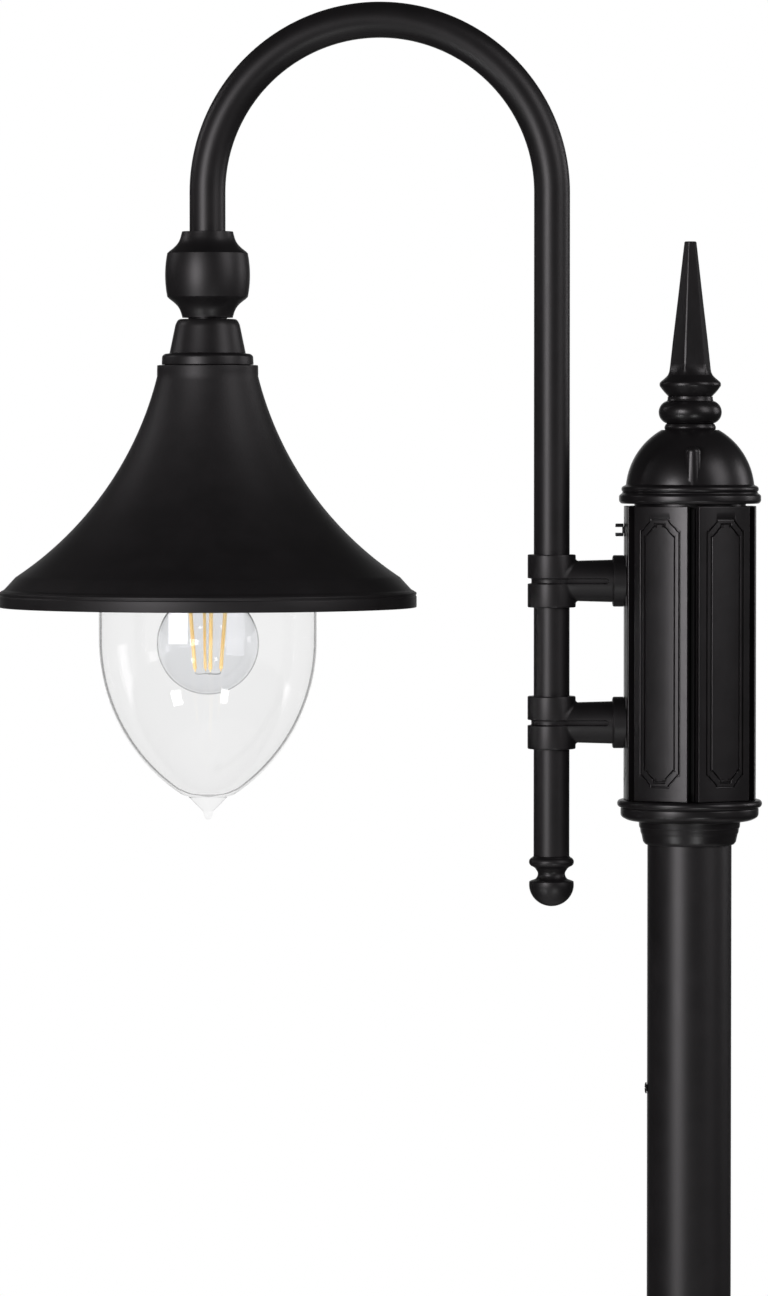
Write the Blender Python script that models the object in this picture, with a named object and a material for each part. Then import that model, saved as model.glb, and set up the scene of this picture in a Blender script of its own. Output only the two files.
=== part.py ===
"""Swan-neck street lamp: a hanging lantern on a curved arm, clamped to a panelled head on a round post.

Metres, +Z up. The origin is on the ground, on the post's axis. The arm leaves the head towards -X.
Heights are measured from the ground, so every piece keeps its height and is placed by its axis alone.
"""

import math

import bmesh
import bpy
import numpy as np
from mathutils import Matrix, Vector

# Driving dimensions
TOTAL_HEIGHT = 2.200
POST_RADIUS = 0.025
ARM_RADIUS = 0.01065
ARCH_RADIUS = 0.102
ARM_X = -0.082
LANTERN_X = ARM_X - 2 * ARCH_RADIUS
CLEARANCE = 0.0003  # between pieces that touch
WELD = 1e-6

# Post and foot
POST_WALL = 0.0025
PLATE_RADIUS = 0.120
PLATE_HEIGHT = 0.010
FOOT_COLLAR_RADIUS = 0.034
FOOT_COLLAR_TOP = 0.060
FOOT_SCREW_HEIGHT = 0.035
BOLT_CIRCLE_RADIUS = 0.090
BOLT_RADIUS = 0.005
COVER_RADIUS = 0.115
CABLE_HOLE_Y = 0.012
CABLE_HOLE_RADIUS = 0.006
LOCK_SCREW_HEIGHT = 1.5557

# Column head
HEAD_BOTTOM = 1.7009
PANEL_BOTTOM = 1.7280
PANEL_TOP = 1.9018
PANEL_RADIUS = 0.0392
PANEL_INNER_RADIUS = 0.0335
PANEL_HALF_WIDTH = 0.0177
PANEL_BULGE = 0.090  # radius of the panels' slightly rounded faces
PANEL_COUNT = 6
CORE_RADIUS = 0.0331
CORE_BORE = 0.0295
CORE_TOP = 1.9057
LEDGE_HEIGHT = 1.7230
DOME_BOTTOM = 1.9032
DOME_TOP = 1.9464
BEAD_TOP = 1.9665
SPIKE_TOP = 2.0584
ROD_RADIUS = 0.004
BOSS_AZIMUTHS = (-90, 90)
BOSS_RADIUS = 0.0046
BOSS_OFFSET = 0.0335
BOSS_TOP = 1.9372
PANEL_SCREW_HEIGHT = 1.8876
PANEL_SCREW_RADIUS = 0.0020
TERMINAL_HEIGHT = 1.882
TERMINAL_SCREW_RADIUS = 0.0015

# T-clamps
BRACKET_HEIGHTS = {"upper": 1.85735, "lower": 1.77330}
SLEEVE_RADIUS = 0.0143
SLEEVE_HEIGHT = 0.0314
BRANCH_RADIUS = 0.0126
BRANCH_COLLAR_RADIUS = 0.0153
BRANCH_COLLAR_X = -0.0460
NIPPLE_RADIUS = 0.005
NIPPLE_BORE = 0.0035

# Arm
ARM_WALL = 0.002
ARCH_CENTRE_HEIGHT = TOTAL_HEIGHT - ARM_RADIUS - ARCH_RADIUS
ARM_LEG_BOTTOM = 1.6940
ARM_FREE_END = 2.0405
COUPLING_TOP = 2.0643
COUPLING_BOTTOM = 2.0133

# Lantern
COLLAR_TOP = 2.0125
SHADE_TOP = 1.9852
SHADE_RIM_TOP = 1.8501
SHADE_RIM_BOTTOM = 1.8418
SHADE_RIM_RADIUS = 0.1239
SHADE_WALL = 0.0015
GALLERY_TOP = 1.9170
GALLERY_BOTTOM = 1.8950
GALLERY_RADIUS = 0.0485
GLASS_RADIUS = 0.0650
GLASS_NECK_RADIUS = 0.0455
GLASS_WALL = 0.0025
GLASS_NECK_TOP = 1.9125
GLASS_SHOULDER = 1.8680
GLASS_POINT_START = 1.8223
GLASS_POINT_RADIUS = 0.110
GLASS_TIP = 1.7156
HOLDER_RADIUS = 0.0200
HOLDER_BOTTOM = 1.8725

# Bulb
BULB_RADIUS = 0.0304
BULB_CENTRE = 1.8202
BULB_CAP_RADIUS = 0.0133
BULB_CAP_TOP = 1.8945
BULB_CAP_BOTTOM = 1.8700
FILAMENT_COUNT = 4
FILAMENT_AZIMUTH = 12
FILAMENT_TOP = (0.0106, 1.8410)
FILAMENT_BOTTOM = (0.0077, 1.8034)

BLACK = ("satin_black", (0.012, 0.011, 0.012), 0.42, 0.0)
STEEL = ("zinc_steel", (0.55, 0.55, 0.56), 0.35, 1.0)
BRASS = ("brass", (0.72, 0.55, 0.28), 0.35, 1.0)
GLASS = ("clear_glass", (0.95, 0.97, 0.97), 0.02, 0.0)
RUBBER = ("grey_rubber", (0.10, 0.10, 0.10), 0.8, 0.0)
PORCELAIN = ("white_porcelain", (0.85, 0.85, 0.82), 0.25, 0.0)
PLASTIC = ("white_plastic", (0.80, 0.80, 0.78), 0.5, 0.0)
PHOSPHOR = ("amber_phosphor", (0.90, 0.55, 0.12), 0.5, 0.0)


# ---------------------------------------------------------------- tools


def clear_scene():
    for item in list(bpy.data.objects):
        bpy.data.objects.remove(item, do_unlink=True)


def finish_of(finish):
    """The material of a finish, made once."""
    name, colour, roughness, metallic = finish
    material = bpy.data.materials.get(name)
    if material is None:
        material = bpy.data.materials.new(name)
        material.use_nodes = True
        shader = material.node_tree.nodes["Principled BSDF"]
        shader.inputs["Base Color"].default_value = (*colour, 1.0)
        shader.inputs["Roughness"].default_value = roughness
        shader.inputs["Metallic"].default_value = metallic
    return material


def object_from(name, shape, finish, pivot):
    """Makes the object of a bmesh, and hangs it on the empty of its moving group."""
    mesh = bpy.data.meshes.new(name)
    shape.to_mesh(mesh)
    shape.free()
    mesh.shade_smooth()
    mesh.set_sharp_from_angle(angle=math.radians(35))
    mesh.materials.append(finish_of(finish))
    made = bpy.data.objects.new(name, mesh)
    bpy.context.scene.collection.objects.link(made)
    made.parent = pivot
    return made


def pivot_at(name, x, parent=None):
    """An empty on a vertical axis at x, which carries one moving group."""
    empty = bpy.data.objects.new(name, None)
    bpy.context.scene.collection.objects.link(empty)
    empty.empty_display_size = 0.03
    empty.parent = parent
    empty.location.x = x - (parent.matrix_world.translation.x if parent else 0.0)
    bpy.context.view_layer.update()
    return empty


def turned_shape(outline, segments):
    """A solid of revolution about Z from a closed outline of (radius, height) points."""
    shape = bmesh.new()
    points = [shape.verts.new((radius, 0.0, height)) for radius, height in outline]
    edges = []
    for first, second in zip(points, points[1:] + points[:1]):
        if first.co.x > WELD or second.co.x > WELD:
            edges.append(shape.edges.new((first, second)))
    bmesh.ops.spin(
        shape, geom=points + edges, cent=(0, 0, 0), axis=(0, 0, 1), dvec=(0, 0, 0),
        angle=2 * math.pi, steps=segments, use_merge=True, use_duplicate=False,
    )
    bmesh.ops.remove_doubles(shape, verts=shape.verts, dist=WELD)
    bmesh.ops.recalc_face_normals(shape, faces=shape.faces)
    return shape


def turned(name, outline, finish, pivot, segments=20):
    return object_from(name, turned_shape(outline, segments), finish, pivot)


def prism_shape(radius, start, end, sides, end_radius=None, twist=0.0):
    """A closed prism or cone between two points, with a corner at the given twist."""
    start, end = Vector(start), Vector(end)
    shape = bmesh.new()
    bmesh.ops.create_cone(
        shape, cap_ends=True, segments=sides, radius1=radius,
        radius2=radius if end_radius is None else end_radius, depth=(end - start).length,
        matrix=Matrix.Rotation(twist, 4, "Z"),
    )
    turn = Vector((0, 0, 1)).rotation_difference(end - start).to_matrix().to_4x4()
    bmesh.ops.transform(shape, matrix=Matrix.Translation((start + end) / 2) @ turn, verts=shape.verts)
    return shape


def prism(name, radius, start, end, sides, finish, pivot, **options):
    return object_from(name, prism_shape(radius, start, end, sides, **options), finish, pivot)


def box_shape(low, high):
    low, high = Vector(low), Vector(high)
    shape = bmesh.new()
    bmesh.ops.create_cube(shape, size=1.0)
    bmesh.ops.scale(shape, vec=high - low, verts=shape.verts)
    bmesh.ops.translate(shape, vec=(low + high) / 2, verts=shape.verts)
    return shape


def combine(target, tool_shape, operation):
    """Cuts a helper shape from an object, or joins it on, with a live Boolean."""
    tool = object_from(f"{target.name}_tool", tool_shape, BLACK, target.parent)
    tool.location = target.location
    tool.rotation_euler = target.rotation_euler
    tool.hide_render = True
    tool.display_type = "WIRE"
    modifier = target.modifiers.new(operation.title(), "BOOLEAN")
    modifier.operation = operation
    modifier.solver = "EXACT"
    modifier.object = tool


def arc(centre, radii, start_degrees, end_degrees, steps):
    """Points of an elliptic arc about (radius, height), both ends included."""
    angles = np.radians(np.linspace(start_degrees, end_degrees, steps + 1))
    return [
        (centre[0] + radii[0] * math.cos(angle), centre[1] + radii[1] * math.sin(angle))
        for angle in angles
    ]


def inset(outline, wall):
    """The outline moved inwards along its own normals, for the inside of a turned wall."""
    points = np.array(outline)
    along = np.gradient(points, axis=0)
    along /= np.linalg.norm(along, axis=1)[:, None]
    inner = points + wall * np.stack([along[:, 1], -along[:, 0]], axis=1)
    return [tuple(point) for point in inner]


def flare_points(start, radius, lean_start, lean_end, steps):
    """A circular flare that goes down and outwards from start, leaning ever further from the vertical."""
    leans = np.radians(np.linspace(lean_start, lean_end, steps + 1))
    return [
        (start[0] + radius * (math.cos(leans[0]) - math.cos(lean)),
         start[1] - radius * (math.sin(lean) - math.sin(leans[0])))
        for lean in leans
    ]


def ring_place(azimuth_degrees, radius, height=0.0):
    angle = math.radians(azimuth_degrees)
    return Vector((radius * math.cos(angle), radius * math.sin(angle), height))


def radial_screw(name, azimuth, height, inner, outer, radius, finish, pivot, head=None, x=0.0):
    """A screw on a radius of the vertical axis at x, with an optional round head (radius, length)."""
    head_radius, head_length = head or (0.0, 0.0)
    made = prism(
        name, radius, ring_place(azimuth, inner, height),
        ring_place(azimuth, outer + head_length / 2, height), 10, finish, pivot,
    )
    made.location.x = x
    if head:
        combine(made, prism_shape(
            head_radius, ring_place(azimuth, outer, height),
            ring_place(azimuth, outer + head_length, height), 10,
        ), "UNION")
    return made


def radial_hole(target, azimuth, height, inner, outer, radius):
    """Cuts a round hole along a radius of the target's own axis."""
    combine(target, prism_shape(
        radius, ring_place(azimuth, inner, height), ring_place(azimuth, outer, height), 12,
    ), "DIFFERENCE")


# ---------------------------------------------------------------- post and foot


def build_foot(pivot):
    flange = turned("base_flange", [
        (0, 0), (PLATE_RADIUS, 0), (PLATE_RADIUS, PLATE_HEIGHT),
        (FOOT_COLLAR_RADIUS + 0.004, PLATE_HEIGHT), (FOOT_COLLAR_RADIUS, PLATE_HEIGHT + 0.004),
        (FOOT_COLLAR_RADIUS, FOOT_COLLAR_TOP), (POST_RADIUS + CLEARANCE, FOOT_COLLAR_TOP),
        (POST_RADIUS + CLEARANCE, PLATE_HEIGHT), (0, PLATE_HEIGHT),
    ], BLACK, pivot, segments=24)
    combine(flange, prism_shape(
        CABLE_HOLE_RADIUS, (0, CABLE_HOLE_Y, -0.01), (0, CABLE_HOLE_Y, 0.02), 12), "DIFFERENCE")
    for index in range(4):
        azimuth = 45 + 90 * index
        place = ring_place(azimuth, BOLT_CIRCLE_RADIUS)
        hole = prism_shape(BOLT_RADIUS + 0.0005, place + Vector((0, 0, -0.01)),
                           place + Vector((0, 0, 0.02)), 12)
        combine(flange, hole, "DIFFERENCE")
        bolt = turned(f"anchor_bolt_{index + 1}", [
            (0, 0.0010), (BOLT_RADIUS, 0.0010), (BOLT_RADIUS, PLATE_HEIGHT + CLEARANCE),
            (0.0105, PLATE_HEIGHT + CLEARANCE), (0.0105, 0.0125), (0, 0.0125),
        ], STEEL, pivot, segments=12)
        bolt.location = place
        combine(bolt, prism_shape(0.0095, (0, 0, 0.0120), (0, 0, 0.0185), 6), "UNION")
    for index, azimuth in enumerate((0, 90)):
        radial_hole(flange, azimuth, FOOT_SCREW_HEIGHT, 0.020, 0.040, 0.0033)
        radial_screw(f"foot_screw_{index + 1}", azimuth, FOOT_SCREW_HEIGHT,
                     POST_RADIUS + CLEARANCE, FOOT_COLLAR_RADIUS + 0.0015, 0.0029, STEEL, pivot)
    grommet = turned("cable_grommet", [
        (0.0040, 0.0010), (CABLE_HOLE_RADIUS - 0.0004, 0.0010),
        (CABLE_HOLE_RADIUS - 0.0004, PLATE_HEIGHT + CLEARANCE), (0.0080, PLATE_HEIGHT + CLEARANCE),
        (0.0080, 0.0125), (0.0040, 0.0125),
    ], RUBBER, pivot, segments=12)
    grommet.location.y = CABLE_HOLE_Y


def build_post(pivot):
    post = turned("post_tube", [
        (POST_RADIUS, PLATE_HEIGHT + CLEARANCE), (POST_RADIUS, LEDGE_HEIGHT - CLEARANCE),
        (POST_RADIUS - POST_WALL, LEDGE_HEIGHT - CLEARANCE),
        (POST_RADIUS - POST_WALL, PLATE_HEIGHT + CLEARANCE),
    ], BLACK, pivot, segments=24)
    radial_hole(post, 180, LOCK_SCREW_HEIGHT, 0.015, 0.035, 0.0024)
    radial_screw("post_lock_screw", 180, LOCK_SCREW_HEIGHT, 0.0222, POST_RADIUS + CLEARANCE, 0.0020,
                 STEEL, pivot, head=(0.0034, 0.0012))


def build_base_cover(pivot):
    """A bell-shaped cover that stands on the foot plate and lifts up the post."""
    floor = PLATE_HEIGHT + CLEARANCE
    outer = [(COVER_RADIUS, floor), (COVER_RADIUS, 0.0175), (COVER_RADIUS - 0.003, 0.0200)]
    outer += arc((0.085, 0.0200), (0.027, 0.0250), 0, 90, 3)[1:]
    outer += [(0.078, 0.0470)]
    outer += arc((0.078, 0.0900), (0.042, 0.042), 270, 180, 4)
    outer += arc((0.0350, 0.0975), (0.0055, 0.0045), -80, 80, 3)
    outer += [(0.0310, 0.1040), (0.0310, 0.1140)]
    inner = [(COVER_RADIUS - 0.0025, floor), (COVER_RADIUS - 0.0025, 0.0170)]
    inner += arc((0.084, 0.0195), (0.0255, 0.0230), 0, 90, 3)
    inner += [(0.0755, 0.0440)]
    inner += arc((0.0755, 0.0875), (0.042, 0.0415), 270, 190, 3)
    inner += [(POST_RADIUS + 0.0006, 0.0940), (POST_RADIUS + 0.0006, 0.1140)]
    turned("base_cover", outer + inner[::-1], BLACK, pivot)


# ---------------------------------------------------------------- column head


def build_head_structure(pivot):
    turned("hub_socket", [
        (POST_RADIUS + 0.0005, HEAD_BOTTOM), (0.0262, HEAD_BOTTOM), (0.0275, 1.7026),
        (0.0281, 1.7082), (0.0297, 1.7110), (0.0300, 1.7148), (0.0390, 1.7164), (0.0409, 1.7192),
        (0.0409, 1.7214), (0.0402, 1.7228), (0.0429, 1.7242), (0.0429, 1.7264),
        (0.0405, PANEL_BOTTOM - CLEARANCE), (0.0224, PANEL_BOTTOM - CLEARANCE), (0.0224, LEDGE_HEIGHT),
        (POST_RADIUS + 0.0005, LEDGE_HEIGHT),
    ], BLACK, pivot)
    flange_bottom = PANEL_BOTTOM
    turned("hub_spigot", [
        (0.0189, 1.5350), (0.0219, 1.5350), (0.0219, flange_bottom), (0.0288, flange_bottom),
        (0.0288, flange_bottom + 0.0030), (0.0189, flange_bottom + 0.0030),
    ], STEEL, pivot, segments=16)
    core = turned("hub_core", [
        (CORE_BORE, PANEL_BOTTOM), (CORE_RADIUS, PANEL_BOTTOM), (CORE_RADIUS, CORE_TOP),
        (CORE_BORE, CORE_TOP),
    ], BLACK, pivot)
    for height in BRACKET_HEIGHTS.values():
        radial_hole(core, 180, height, 0.020, 0.040, NIPPLE_RADIUS + CLEARANCE)
    radial_hole(core, 180, PANEL_SCREW_HEIGHT, 0.020, 0.040, PANEL_SCREW_RADIUS + CLEARANCE)
    radial_hole(core, 90, TERMINAL_HEIGHT, 0.020, 0.040, TERMINAL_SCREW_RADIUS + CLEARANCE)

    bridge_bottom = flange_bottom + 0.0030 + CLEARANCE
    bridge_top = bridge_bottom + 0.004
    bridge = object_from("rod_bridge", box_shape((-0.0270, -0.0060, bridge_bottom),
                                                 (0.0270, 0.0060, bridge_top)), STEEL, pivot)
    combine(bridge, prism_shape(ROD_RADIUS + 0.0004, (0, 0, bridge_bottom - 0.01),
                                (0, 0, bridge_top + 0.01), 16), "DIFFERENCE")
    prism("tie_rod", ROD_RADIUS, (0, 0, 1.7200), (0, 0, 1.9850), 12, STEEL, pivot)
    nut_top = bridge_bottom - CLEARANCE
    nut = prism("tie_rod_nut", 0.0075, (0, 0, nut_top - 0.0065), (0, 0, nut_top), 6, STEEL, pivot)
    combine(nut, prism_shape(ROD_RADIUS + 0.0004, (0, 0, nut_top - 0.02), (0, 0, nut_top + 0.02), 16),
            "DIFFERENCE")


def panel_shape():
    """One panel with a slightly rounded face, centred on +X, between two grooves of the head."""
    half_span = math.asin(PANEL_HALF_WIDTH / PANEL_BULGE)
    centre = PANEL_RADIUS - PANEL_BULGE
    outer = [(centre + PANEL_BULGE * math.cos(a), PANEL_BULGE * math.sin(a))
             for a in np.linspace(-half_span, half_span, 5)]
    edge = math.atan2(outer[-1][1], outer[-1][0])
    angles = np.linspace(-edge, edge, 5)
    inner = [(PANEL_INNER_RADIUS * math.cos(a), PANEL_INNER_RADIUS * math.sin(a)) for a in angles]
    shape = bmesh.new()
    rim = [shape.verts.new((x, y, PANEL_BOTTOM)) for x, y in outer + inner[::-1]]
    base = shape.faces.new(rim)
    swept = bmesh.ops.extrude_face_region(shape, geom=[base], use_keep_orig=True)
    top = [item for item in swept["geom"] if isinstance(item, bmesh.types.BMVert)]
    bmesh.ops.translate(shape, vec=(0, 0, PANEL_TOP - PANEL_BOTTOM), verts=top)
    bmesh.ops.recalc_face_normals(shape, faces=shape.faces)
    return shape


def build_panels(pivot):
    """Six panels: a groove faces -Y, and the panel on the arm's side takes the two T-clamps."""
    for index in range(PANEL_COUNT):
        panel = object_from(f"hub_panel_{index + 1}", panel_shape(), BLACK, pivot)
        azimuth = index * 360 / PANEL_COUNT
        panel.rotation_euler.z = math.radians(azimuth)
        if azimuth == 180:
            for height in BRACKET_HEIGHTS.values():
                radial_hole(panel, 0, height, 0.028, 0.046, NIPPLE_RADIUS + CLEARANCE)
            radial_hole(panel, 0, PANEL_SCREW_HEIGHT, 0.028, 0.046, PANEL_SCREW_RADIUS + CLEARANCE)
    screw = radial_screw("panel_screw", 180, PANEL_SCREW_HEIGHT, 0.0300, PANEL_RADIUS + CLEARANCE,
                         PANEL_SCREW_RADIUS, STEEL, pivot, head=(0.0038, 0.0046))
    combine(screw, box_shape((-0.0500, -0.0060, PANEL_SCREW_HEIGHT - 0.0020),
                             (-0.0405, 0.0060, PANEL_SCREW_HEIGHT + 0.0020)), "DIFFERENCE")


def build_terminals(pivot):
    block = object_from("terminal_block", box_shape(
        (-0.0120, 0.0125, TERMINAL_HEIGHT - 0.0100), (0.0120, 0.0255, TERMINAL_HEIGHT + 0.0100)),
        PLASTIC, pivot)
    radial_hole(block, 90, TERMINAL_HEIGHT, 0.0180, 0.0300, TERMINAL_SCREW_RADIUS + CLEARANCE)
    radial_screw("terminal_screw", 90, TERMINAL_HEIGHT, 0.0190, CORE_RADIUS + CLEARANCE,
                 TERMINAL_SCREW_RADIUS, STEEL, pivot, head=(0.0020, 0.0016))


def build_dome(pivot):
    """The dome with its ring mouldings and two upright bosses. It stands on the end of the core."""
    ball_radius, ball_offset, ball_height = 0.04234, -0.0041, 1.9102
    wall = 0.003
    outer = [
        (0.0395, DOME_BOTTOM), (0.0419, 1.9048), (0.0419, 1.9078), (0.0410, 1.9104), (0.0402, 1.9128),
        (0.0382, 1.9156),
    ]
    outer += arc((ball_offset, ball_height), (ball_radius, ball_radius), 10, 56, 5)
    outer += [(0.0150, DOME_TOP)]
    inner = [(0.0338, DOME_BOTTOM), (0.0338, CORE_TOP + CLEARANCE), (0.0310, CORE_TOP + CLEARANCE)]
    inner += arc((ball_offset, ball_height), (ball_radius - wall - 0.0020, ball_radius - wall), 9, 56, 4)
    inner += [(ROD_RADIUS + 0.0004, DOME_TOP - wall - 0.001)]
    dome = turned("dome_cap", outer + [(ROD_RADIUS + 0.0004, DOME_TOP)] + inner[::-1], BLACK, pivot)
    for azimuth in BOSS_AZIMUTHS:
        boss = turned_shape([(0, 1.9120), (BOSS_RADIUS, 1.9120),
                             *arc((0, BOSS_TOP - BOSS_RADIUS), (BOSS_RADIUS, BOSS_RADIUS), 0, 90, 3)], 10)
        bmesh.ops.translate(boss, vec=ring_place(azimuth, BOSS_OFFSET), verts=boss.verts)
        combine(dome, boss, "UNION")


def build_finial(dome_pivot, spike_pivot):
    bead_bottom = DOME_TOP + CLEARANCE
    bore = ROD_RADIUS + 0.0004
    turned("finial_bead", [
        (bore, bead_bottom), (0.0148, bead_bottom), (0.0151, 1.9486), (0.0142, 1.9503),
        *arc((0.0120, 1.95735), (0.0065, 0.0068), -72, 72, 4), (0.0136, BEAD_TOP), (bore, BEAD_TOP),
    ], BLACK, dome_pivot, segments=16)
    spike_bottom = BEAD_TOP + CLEARANCE
    spike = turned("finial_spike", [
        (bore, spike_bottom), (0.0137, spike_bottom), (0.0181, 1.9732), (0.0180, 1.9748),
        (0.0158, 1.9778), (0.0138, 1.9830), (0, 1.9875), (0, 1.9865), (bore, 1.9865),
    ], BLACK, spike_pivot, segments=16)
    corner = math.radians(-107.5)
    combine(spike, prism_shape(0.0142, (0, 0, 1.9810), (0, 0, SPIKE_TOP), 6, end_radius=0.0040,
                               twist=corner), "UNION")
    combine(spike, prism_shape(bore, (0, 0, 1.9600), (0, 0, 1.9865), 16), "DIFFERENCE")


# ---------------------------------------------------------------- T-clamps


def build_bracket(side, pivot):
    """A sleeve round the arm, a branch to the head and a collar cut to the curve of the panel's face."""
    height = BRACKET_HEIGHTS[side]
    half = SLEEVE_HEIGHT / 2
    edge = 0.0012
    bracket = turned(f"bracket_{side}", [
        (0.0050, height - half), (SLEEVE_RADIUS - edge, height - half), (SLEEVE_RADIUS, height - half + edge),
        (SLEEVE_RADIUS, height + half - edge), (SLEEVE_RADIUS - edge, height + half),
        (0.0050, height + half),
    ], BLACK, pivot, segments=16)
    bracket.location.x = ARM_X
    reach = -ARM_X
    branch = turned_shape([
        (0, 0.006), (0.0121, 0.006), (BRANCH_RADIUS, reach + BRANCH_COLLAR_X),
        (BRANCH_COLLAR_RADIUS, reach + BRANCH_COLLAR_X + 0.0008),
        (BRANCH_COLLAR_RADIUS, reach - 0.0350), (0, reach - 0.0350),
    ], 16)
    lay = Matrix.Translation((0, 0, height)) @ Matrix.Rotation(math.pi / 2, 4, "Y")
    bmesh.ops.transform(branch, matrix=lay, verts=branch.verts)
    combine(bracket, branch, "UNION")
    face = reach + PANEL_BULGE - PANEL_RADIUS
    hub = prism_shape(PANEL_BULGE + CLEARANCE, (face, 0, height - 0.03), (face, 0, height + 0.03), 96)
    combine(bracket, hub, "DIFFERENCE")
    combine(bracket, prism_shape(ARM_RADIUS + 0.0004, (0, 0, height - 0.03), (0, 0, height + 0.03), 16),
            "DIFFERENCE")
    combine(bracket, prism_shape(NIPPLE_RADIUS + CLEARANCE, (0.005, 0, height), (reach, 0, height), 12),
            "DIFFERENCE")
    combine(bracket, prism_shape(0.0028, (0, 0.005, height), (0, 0.020, height), 10), "DIFFERENCE")

    radial_screw(f"arm_clamp_screw_{side}", 90, height, ARM_RADIUS + CLEARANCE + 0.0001,
                 SLEEVE_RADIUS + CLEARANCE, 0.0024, STEEL, pivot, head=(0.0042, 0.0040), x=ARM_X)

    nipple = turned(f"bracket_nipple_{side}", [
        (NIPPLE_BORE, 0.0220), (NIPPLE_RADIUS, 0.0220), (NIPPLE_RADIUS, 0.0580), (NIPPLE_BORE, 0.0580),
    ], BRASS, pivot, segments=12)
    nipple.rotation_euler.y = -math.pi / 2
    nipple.location.z = height
    nut = prism(f"bracket_nut_{side}", 0.0080, (-0.0230, 0, height), (-0.0279, 0, height), 6, BRASS, pivot)
    combine(nut, prism_shape(NIPPLE_RADIUS + CLEARANCE + 0.0002, (-0.020, 0, height), (-0.030, 0, height), 16),
            "DIFFERENCE")


# ---------------------------------------------------------------- arm


def arm_centreline(low, end, steps):
    """Up the leg, over the half-circle arch, and down to the lantern, as (x, z) from the leg's axis."""
    angles = np.linspace(0, math.pi, steps + 1)
    arch_x = ARCH_RADIUS * (np.cos(angles) - 1)
    arch_z = ARCH_CENTRE_HEIGHT + ARCH_RADIUS * np.sin(angles)
    x = np.concatenate([[0.0], arch_x, [-2 * ARCH_RADIUS]])
    z = np.concatenate([[low], arch_z, [end]])
    lean = np.concatenate([[0.0], angles, [math.pi]])
    return x, z, lean


def build_arm_tube(pivot):
    """Rings of an outer and an inner circle carried along the centreline, closed at both ends."""
    sides, steps = 12, 16
    x, z, lean = arm_centreline(ARM_LEG_BOTTOM, ARM_FREE_END, steps)
    turn = np.linspace(0, 2 * math.pi, sides, endpoint=False)
    shape = bmesh.new()
    rings = []
    for radius in (ARM_RADIUS, ARM_RADIUS - ARM_WALL):
        for station in range(len(x)):
            side = radius * np.cos(turn)
            ring = [
                shape.verts.new((x[station] + s * math.cos(lean[station]), radius * math.sin(t),
                                 z[station] + s * math.sin(lean[station])))
                for s, t in zip(side, turn)
            ]
            rings.append(ring)
    count = len(x)
    order = list(range(count)) + list(range(2 * count - 1, count - 1, -1))
    for current, following in zip(order, order[1:] + order[:1]):
        for i in range(sides):
            j = (i + 1) % sides
            shape.faces.new((rings[current][i], rings[current][j], rings[following][j], rings[following][i]))
    bmesh.ops.recalc_face_normals(shape, faces=shape.faces)
    arm = object_from("arm_tube", shape, BLACK, pivot)
    combine(arm, prism_shape(0.0040, (0.004, 0, BRACKET_HEIGHTS["upper"]),
                             (0.020, 0, BRACKET_HEIGHTS["upper"]), 12), "DIFFERENCE")


def build_arm(pivot):
    build_arm_tube(pivot)
    spigot_radius = ARM_RADIUS - ARM_WALL - 0.0005
    top = ARM_LEG_BOTTOM - CLEARANCE
    turned("arm_end_knob", [
        (0, 1.6640), (0.0050, 1.6646), *arc((0, 1.6772), (0.0133, 0.0132), -50, 5, 4),
        (0.0122, 1.6791), (0.0092, 1.6803), (0.0081, 1.6822), (0.0081, 1.6842), (0.0096, 1.6862),
        *arc((0.0105, 1.6904), (0.0028, 0.0027), -60, 75, 3), (0.0100, top),
        (spigot_radius, top), (spigot_radius, top + 0.014), (0, top + 0.014),
    ], BLACK, pivot, segments=16)


def build_coupling(pivot):
    """The turned coupling between the arm's end and the lantern's hanging tube."""
    flare = flare_points((0.0152, COUPLING_TOP), 0.020, 8, 50, 3)
    foot = flare_points((0.0150, COUPLING_BOTTOM), 0.0259, 12, 50, 3)
    foot = [(radius, 2 * COUPLING_BOTTOM - height) for radius, height in foot]
    coupling = turned("neck_coupling", [
        *flare, (0.0239, COUPLING_TOP - 0.0138), (0.0249, 2.0430), (0.0249, 2.0340), (0.0239, 2.0265),
        *foot[::-1], (NIPPLE_RADIUS + CLEARANCE, COUPLING_BOTTOM),
        (NIPPLE_RADIUS + CLEARANCE, ARM_FREE_END - CLEARANCE),
        (ARM_RADIUS + CLEARANCE, ARM_FREE_END - CLEARANCE), (ARM_RADIUS + CLEARANCE, COUPLING_TOP),
    ], BLACK, pivot, segments=16)
    height = COUPLING_TOP - 0.0180
    radial_hole(coupling, 90, height, 0.005, 0.030, 0.0028)
    radial_screw("coupling_screw", 90, height, ARM_RADIUS + CLEARANCE + 0.0001, 0.0252, 0.0024, STEEL, pivot)


# ---------------------------------------------------------------- lantern


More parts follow.
